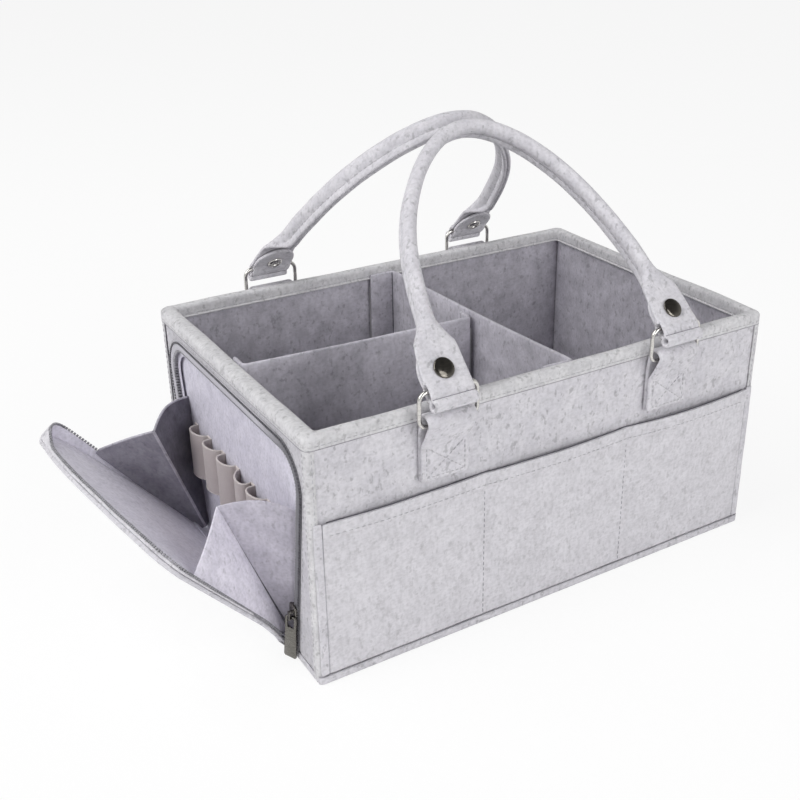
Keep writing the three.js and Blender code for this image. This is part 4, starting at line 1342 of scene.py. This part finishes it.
def flap_point(depth, point):
    """Point of the flap: its far side is cut a little longer and hangs, and its near side curls up."""
    rise = point.y / opening_height
    skew = FLAP_SKEW * (point.x / corner_y) * rise ** 2
    droop = FLAP_DROOP * smoothstep(point.x, *FLAP_DROOP_SPAN) * rise ** 2
    curl = FLAP_CURL * smoothstep(-point.x, *FLAP_CURL_SPAN) * smoothstep(point.y, *FLAP_CURL_RISE)
    bowed = depth - flap_bow(point.x, point.y) - droop + curl
    return flap_frame @ Vector((bowed, point.x, point.y + skew))


def closed_depth(plane_x, height):
    """Depth above the flap at which an upright plane cuts it when it is closed."""
    return (plane_x - hinge.x + height * math.sin(FLAP_CLOSED)) / math.cos(FLAP_CLOSED)


def make_border():
    """Felt frame round the opening."""
    half = (border_high.x - border_low.x) / 2
    inner = opening_outline(-half, -OPENING_SILL - half)
    inner += line(inner[-1], inner[0], 30)[1:-1]
    low_z = border_low.z + half - hinge.z
    high_z = border_high.z - half - hinge.z
    side_y = border_high.y - half
    centre = Vector((0, (low_z + high_z) / 2))
    outer = []
    for point in inner:
        away = point - centre
        stretch = min(side_y / max(abs(away.x), 0.01), (high_z - centre.y) / max(abs(away.y), 0.01))
        outer.append(centre + away * stretch)
    for corner in (Vector((y, z)) for y in (-side_y, side_y) for z in (low_z, high_z)):
        nearest = min(range(len(outer)), key=lambda place: (outer[place] - corner).length)
        outer[nearest] = corner
    rows = 5
    grid = []
    for row in range(rows + 1):
        points = [start.lerp(end, row / rows) for start, end in zip(inner, outer)]
        grid.append([wall_point(border_low.x + half, point) for point in points])
    add_piece("end_border_felt", sheet_mesh(grid, 2 * half, True), border_painted_shade_felt, "box", ["end_border"])


def strip_along(place, outer_inset, inner_inset, depth, start):
    """Grid of a strip that follows the opening between two insets."""
    edges = zip(opening_outline(outer_inset, start), opening_outline(inner_inset, start))
    return [[place(depth, point) for point in line(outer, inner, 3)] for outer, inner in edges]


def teeth_along(place, inset, low_depth, high_depth, start, width):
    """Row of zip teeth on a line at an inset of the opening; depths may change along it."""
    path = spaced(opening_outline(inset, start), TOOTH_PITCH)
    tooth = block_mesh((-0.5, -0.5, -0.5), (0.5, 0.5, 0.5), 0.22)
    meshes = []
    for before, point, after in zip(path, path[1:], path[2:]):
        low = low_depth(point)
        high = high_depth(point)
        if high - low < LOWEST_TOOTH:
            continue
        middle = (low + high) / 2
        along = (place(middle, after) - place(middle, before)).normalized()
        out = (place(high, point) - place(low, point)).normalized()
        size = (along * TOOTH_PITCH * TOOTH_SHARE, along.cross(out) * width, out * (high - low))
        turn = Matrix.Translation(place(middle, point)) @ Matrix(size).transposed().to_4x4()
        meshes.append(moved(tooth, turn))
    return joined(meshes)


def make_wall_zip():
    low, high = node_box("wall_zip_chain")
    face_x = border_low.x - TAPE_LIFT
    tape = strip_along(wall_point, -TAPE_OVERLAP, CHAIN_INSET + 0.4, face_x, 0)
    add_sheet("wall_tape_woven", tape, TAPE_FELT, zip_tape, "box", ["wall_zip_tape"])
    inner_tape = strip_along(wall_point, CHAIN_INSET - 1, FLAP_INSET + 1.5, high.x + 0.4, 0)
    add_piece("wall_tape_lining", sheet_mesh(inner_tape, TAPE_FELT), lining_felt, "box")
    chain = teeth_along(wall_point, CHAIN_INSET + CHAIN_WIDTH / 2,
                        lambda point: low.x, lambda point: high.x, 1, CHAIN_WIDTH)
    add_piece("wall_teeth", chain, zip_teeth, "box", ["wall_zip_chain"])
    # Dark coil along the tape's outer edge: part zip coil, part painted shadow of the gap.
    coil = teeth_along(wall_point, COIL_WIDTH / 2 - TAPE_OVERLAP,
                       lambda point: face_x - COIL_HIGH, lambda point: face_x - COIL_LOW, 1, COIL_WIDTH)
    add_piece("wall_coil", coil, zip_coil_with_painted_shadow, "box")
    edge = opening_outline(-TAPE_OVERLAP - BORDER_STITCH_GAP, 4)
    path = [wall_point(border_low.x, point) for point in edge]
    add_piece("border_stitching", stitches(path, LEFT), thread, "box")


def flap_grid(inset, start, face):
    """Rows across the flap from the hinge to its free edge."""
    side_steps = 22
    arc_steps = 10
    columns = 32
    half = opening_outline(inset, start, side_steps, arc_steps, 2)[:side_steps + arc_steps + 1]
    shares = [2 * column / columns - 1 for column in range(columns + 1)]
    return [[flap_point(face, Vector((edge.x * share, edge.y))) for share in shares] for edge in half]


def flatten_when_closed(piece):
    """Gives the piece a mesh of its own; nothing here flattens it when the flap closes."""
    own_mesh(piece)


def make_flap():
    half = FLAP_FELT / 2
    outer = flap_grid(FLAP_INSET + half, 1.5 + half, FLAP_FACE - half)
    flap = add_sheet("flap_felt", outer, FLAP_FELT, felt, "flap", ["flap_panel"])
    flatten_when_closed(flap)
    half = LINING_FELT / 2
    inset = FLAP_INSET + FLAP_CHAIN_WIDTH + LAYER_GAP
    inner = flap_grid(inset + half, 4 + half, LINING_FACE - half)
    lining = add_sheet("flap_lining_felt", inner, LINING_FELT, flap_lining, "flap",
                       ["flap_lining"])
    flatten_when_closed(lining)


def band_top(point):
    """Depth of the band's upper edge; it is pressed over except on the far side."""
    foot = FLAP_FACE + LAYER_GAP
    full = max(closed_depth(BAND_TOP_X, point.y), foot + 0.5)
    standing = BAND_PRESSED + (BAND_STANDING - BAND_PRESSED) * smoothstep(point.x, *BAND_STANDING_SPAN)
    return foot + (full - foot) * standing


def make_flap_band():
    """Band that stands up round the flap's three free edges and carries its half of the zip."""
    middle = FLAP_INSET + FLAP_CHAIN_WIDTH / 2
    layer = BAND_FELT / 2
    low = FLAP_FACE + LAYER_GAP + layer / 2
    columns = 5
    for name, inset, material, slot, nodes in (
        ("flap_band_felt", middle - layer / 2, felt, "felt", ["flap_side_band"]),
        ("flap_band_lining", middle + layer / 2 + 0.1, flap_lining, "lining_felt", []),
    ):
        grid = []
        for point in opening_outline(inset, BAND_START):
            high = max(band_top(point) - layer / 2, low + 0.2)
            depths = [low + (high - low) * column / columns for column in range(columns + 1)]
            grid.append([flap_point(depth, point) for depth in depths])
        band = add_sheet(name, grid, layer, material, "flap", nodes)
        flatten_when_closed(band)
    chain = teeth_along(flap_point, middle, band_top, lambda point: band_top(point) + FLAP_TOOTH, 12,
                        FLAP_TOOTH_WIDTH)
    flatten_when_closed(add_piece("flap_teeth", chain, zip_teeth, "flap", ["flap_zip_chain"]))


def make_hinge_strip(name, material, first, second, depth, heights):
    """Felt that bends from two places (x, z) on the box to heights on the flap, along the hinge."""
    path = [Vector((x, 0, z)) for x, z in (first, second)]
    path += [flap_point(depth, Vector((0, height))) for height in heights]
    width = 2 * (hinge_half - HINGE_MARGIN)
    grid = strip_grid(spaced(rounded(path), 1.2), Vector((0, width, 0)), 24)
    strip = add_sheet(name, grid, HINGE_FELT, material, None, [])
    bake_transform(strip)


def make_hinge_strips():
    """Strips inside and outside the hinge."""
    make_hinge_strip("hinge_lining", lining_felt, (left_low.x - 0.6, 14),
                     (left_low.x - 1, 9.5), LINING_FACE + 0.5, (4, 9, 14))
    make_hinge_strip("hinge_felt", felt, (border_low.x - 0.4, 2.4),
                     (border_low.x - 1.4, 5.2), FLAP_FACE - FLAP_FELT - 0.4, (4, 8, 12))


def gusset_fold(share, inset):
    """Place on the fold between two gusset panels, from its foot to its top."""
    reach = GUSSET_START + (GUSSET_APEX - GUSSET_START) * share
    return Vector((reach * math.sin(GUSSET_ANGLE) - inset, reach * math.cos(GUSSET_ANGLE)))


def gusset_grid(side, skirt, belly, crown):
    """Gusset panel in Y and Z: a narrow skirt, the sewn edge at Y 0, and the fold at the far edge."""
    rows = 20
    columns = 10
    grid = []
    for row in range(rows + 1):
        share = row / rows
        seam = Vector((0, GUSSET_START + (GUSSET_EDGE - GUSSET_START) * share))
        fold = gusset_fold(share, GUSSET_FELT / 2 + 0.15)
        points = [UP * seam.y + skirt]
        for column in range(columns + 1):
            point = seam.lerp(fold, column / columns)
            swell = math.sin(math.pi * column / columns) * share
            points.append(Vector((belly * swell, side * point.x, point.y + crown * swell * share ** 2)))
        grid.append(points)
    return grid


def ridge_girth(share):
    """Radius of the front gusset's dark ridge tube, which is thick at its foot: painted shadow of the deep
    fold.
    """
    return 0.5 + 1.3 * (1 - share) ** 2


def make_gussets():
    # The wall panels and the back flap panel get darker felt copies, and the ridges get darker tubes:
    # painted shade and painted shadow in the folds.
    for place, side, wall_belly, wall_painted_shade_cloth, flap_cloth, ridge_painted_shade_cloth, girth in (
        ("front", 1, GUSSET_BELLY, near_gusset_painted_shade_felt, gusset_felt, painted_shadow_felt, ridge_girth),
        ("back", -1, BACK_GUSSET_HOLLOW, back_gusset_deep_painted_shade_felt, back_gusset_painted_shade_felt, inner_felt, BACK_RIDGE),
    ):
        corner = joint_places[f"{place}_wall_gusset_fold"]
        lean = Matrix.Rotation(side * OPENING_SPREAD, 4, "X")
        wall = Matrix.Translation(corner) @ lean @ Matrix.Rotation(side * GUSSET_FOLD, 4, "Z")
        flap = flap_frame @ Matrix.Translation((0, corner.y, 0)) @ lean
        flap = flap @ Matrix.Rotation(-side * GUSSET_FOLD, 4, "Z")
        for part, turn, sign, reach, belly, crown, material in (
            ("wall", wall, 1, WALL_SKIRT, wall_belly, GUSSET_CROWN, wall_painted_shade_cloth),
            ("flap", flap, -1, FLAP_SKIRT, GUSSET_BELLY, 0, flap_cloth),
        ):
            skirt = Vector((sign * math.cos(GUSSET_FOLD), -side * math.sin(GUSSET_FOLD), 0)) * reach
            grid = gusset_grid(side, skirt, belly, crown)
            body = f"{place}_{part}_gusset"
            add_sheet(f"gusset_felt_{place}_{part}", grid, GUSSET_FELT, material, body,
                      [f"gusset_{place}_{part}"], turn)
            # The back gusset's hem uses the darker inside felt: painted shade.
            if place == "back":
                hem = moved(tube_mesh(grid[-1][1:], GUSSET_HEM), turn)
                add_piece(f"gusset_hem_{part}", hem, inner_felt, body)
        edge = [gusset_fold(step / 20, 0.4) for step in range(21)]
        path = [Vector((0.3, side * point.x, point.y)) for point in edge]
        ridge = moved(tube_mesh(path, girth), flap)
        add_piece(f"gusset_ridge_{place}", ridge, ridge_painted_shade_cloth, f"{place}_flap_gusset")


def make_loops():
    """Elastic ribbon sewn to the end wall between its standing loops."""
    low, high = node_box("elastic_loops")
    pitch = (high.y - low.y - LOOP_FLAT) / LOOP_COUNT
    width = pitch - LOOP_FLAT
    wall_x = high.x - RIBBON_FELT / 2
    path = [Vector((wall_x, low.y + RIBBON_FELT / 2, 0))]
    steps = 16
    for loop in range(LOOP_COUNT):
        start = low.y + LOOP_FLAT + loop * pitch
        lean = -LOOP_LEAN if loop == 1 else LOOP_LEAN
        for step in range(steps + 1):
            angle = math.pi * step / steps
            along = start + width * (1 - math.cos(angle)) / 2 + lean * math.sin(angle)
            path.append(Vector((wall_x - LOOP_DEPTH * math.sin(angle) ** 0.8, along, 0)))
    path.append(Vector((wall_x, high.y - RIBBON_FELT / 2, 0)))
    middle = [point + UP * (low.z + high.z) / 2 for point in path]
    grid = strip_grid(middle, UP * (high.z - low.z - RIBBON_FELT), 10)
    ribbon = add_sheet("elastic_ribbon", grid, RIBBON_FELT, elastic, "box", ["elastic_loops"])
    edges = [tube_mesh([point + UP * z for point in path], SELVAGE_RADIUS, 6)
             for z in (low.z + 0.5, high.z - 0.5)]
    trim = add_piece("ribbon_selvage", joined(edges), selvage, "box")
    for piece in (ribbon, trim):
        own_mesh(piece)
    sewn = []
    for loop in range(LOOP_COUNT + 1):
        y = low.y + LOOP_FLAT / 2 + loop * pitch
        x = wall_x - RIBBON_FELT / 2
        run = line((x, y, low.z + 2), (x, y, high.z - 1))
        sewn.append(stitches(run, LEFT, LOOP_STITCH_PITCH, LOOP_STITCH_LENGTH))
    add_piece("loop_stitching", joined(sewn), inner_thread, "box")


def make_slider():
    """Zip slider with its bridge, and the pull that hangs from it, turned a little to the front."""
    local = Matrix.Translation(joint_places["pull_swing"]) @ Matrix.Rotation(OPENING_SPREAD, 4, "X")
    plate_x = SLIDER_PLATE
    parts = [
        block_mesh((plate_x, -2.4, -4.1), (plate_x + 2.2, 6.7, 6.9), 0.7, 3),
        block_mesh((plate_x + 2.0, 5.6, -4.1), (plate_x + 6.2, 6.7, 5.6), 0.4),
        block_mesh((plate_x + 6.0, -0.4, -4.1), (plate_x + 7.3, 6.7, 5.6), 0.5),
        block_mesh((-2.7, -1.5, -2.1), (-1.7, 1.5, 4.9), 0.4, 3),
        block_mesh((-2.7, -1.5, 3.9), (plate_x + 0.5, 1.5, 4.9), 0.4),
        block_mesh((-2.7, -1.5, -2.1), (plate_x + 0.5, 1.5, -1.1), 0.4),
    ]
    add_piece("slider_body", moved(joined(parts), local), gunmetal, "slider", ["zip_slider"])
    half = PULL_HALF_WIDTH
    foot = -PULL_LENGTH
    side = [(3.2, 0.8), (half - 0.3, -1.2), (half - 0.6, -12), (half, foot + 1.2), (half - 1.0, foot)]
    outline = side + [(-y, z) for y, z in reversed(side)]
    window = [(-2.7, -0.8), (-2.5, -10.0), (2.5, -10.0), (2.7, -0.8)]
    facing = Matrix.Translation((-0.5, 0, 0)) @ Matrix.Rotation(PULL_TURN, 4, "Z")
    pull = moved(plate_mesh(outline, window, PULL_PLATE, 0.3), local @ facing)
    add_piece("pull_tab", pull, gunmetal, "pull", ["zip_pull"])


# Studio

def aim(name, data, place, target):
    """Adds a lamp or the camera at a place in metres, pointed at a target."""
    added = bpy.data.objects.new(name, data)
    added.location = place
    added.rotation_euler = (Vector(target) - Vector(place)).to_track_quat("-Z", "Y").to_euler()
    bpy.context.collection.objects.link(added)
    return added


def seen_directly(tree):
    """1 for what the camera sees straight, in metal or through glass."""
    path = add_node(tree, "LightPath", {})
    seen = path.outputs["Is Camera Ray"]
    for kind in ("Is Glossy Ray", "Is Transmission Ray"):
        seen = calculate(tree, "MAXIMUM", seen, path.outputs[kind])
    return seen


def make_floor():
    """Pale floor that shows white to the camera and in metal, and keeps the object's shadow."""
    signs = ((-1, -1), (1, -1), (1, 1), (-1, 1))
    corners = [Vector((x * FLOOR_SIZE, y * FLOOR_SIZE, FLOOR_HEIGHT)) * MM for x, y in signs]
    data = bpy.data.meshes.new("floor")
    data.from_pydata(corners, [], [[0, 1, 2, 3]])
    material, tree, shader = start_material("floor", 0.9)
    tone = ramp(tree, noise_value(tree, 3, 2), [(0.3, grey(0.955)), (0.7, grey(0.965))])
    feed(tree, shader, {"Base Color": tone, "Specular IOR Level": 0})
    glow = add_node(tree, "Emission", {})
    share = calculate(tree, "MULTIPLY", seen_directly(tree), FLOOR_WHITE)
    mix_shaders(tree, share, shader.outputs["BSDF"], glow.outputs["Emission"], "Material Output")
    data.materials.append(material)
    floor = bpy.data.objects.new("floor", data)
    bpy.context.collection.objects.link(floor)


def make_studio():
    """Soft light: a sky that is bright low down, three large lamps and a small one for the snap caps."""
    world = bpy.data.worlds.new("studio")
    world.use_nodes = True
    bpy.context.scene.world = world
    tree = world.node_tree
    direction = add_node(tree, "TexCoord", {}).outputs["Generated"]
    parts = add_node(tree, "SeparateXYZ", {"Vector": direction})
    levels = [(0.0, grey(1.0)), (0.4, grey(0.9)), (0.62, grey(0.25)), (1.0, grey(0.2))]
    sky = tree.nodes["Background"]
    feed(tree, sky, {"Color": ramp(tree, parts.outputs["Z"], levels), "Strength": SKY_STRENGTH})
    white = add_node(tree, "Background", {"Color": grey(1)})
    seen = add_node(tree, "LightPath", {}).outputs["Is Camera Ray"]
    mix_shaders(tree, seen, sky.outputs["Background"], white.outputs["Background"], "World Output")
    for name, place, target, size, power in LAMPS:
        data = bpy.data.lights.new(name, "AREA")
        data.shape = "DISK"
        data.size = size
        data.energy = power
        aim(name, data, place, target)
    make_floor()


def make_camera():
    data = bpy.data.cameras.new("camera")
    data.sensor_fit = "HORIZONTAL"
    data.sensor_width = SENSOR_WIDTH
    data.lens = FOCAL_PIXELS * SENSOR_WIDTH / PHOTO_PIXELS
    data.shift_x = (PHOTO_PIXELS / 2 - CENTRE_PIXEL_X) / PHOTO_PIXELS
    data.shift_y = (CENTRE_PIXEL_Y - PHOTO_PIXELS / 2) / PHOTO_PIXELS
    bpy.context.scene.camera = aim("camera", data, CAMERA_PLACE * MM, CAMERA_TARGET * MM)
    bpy.context.scene.view_settings.view_transform = "Standard"


make_camera()
make_studio()
make_base()
make_walls()
make_corner_strips()
make_rim()
make_base_edge()
make_front_pockets()
make_strap_side("front")
make_strap_side("back")
make_dividers()
make_grip_strips()
make_border()
make_wall_zip()
make_flap()
make_flap_band()
make_hinge_strips()
make_gussets()
make_loops()
make_slider()
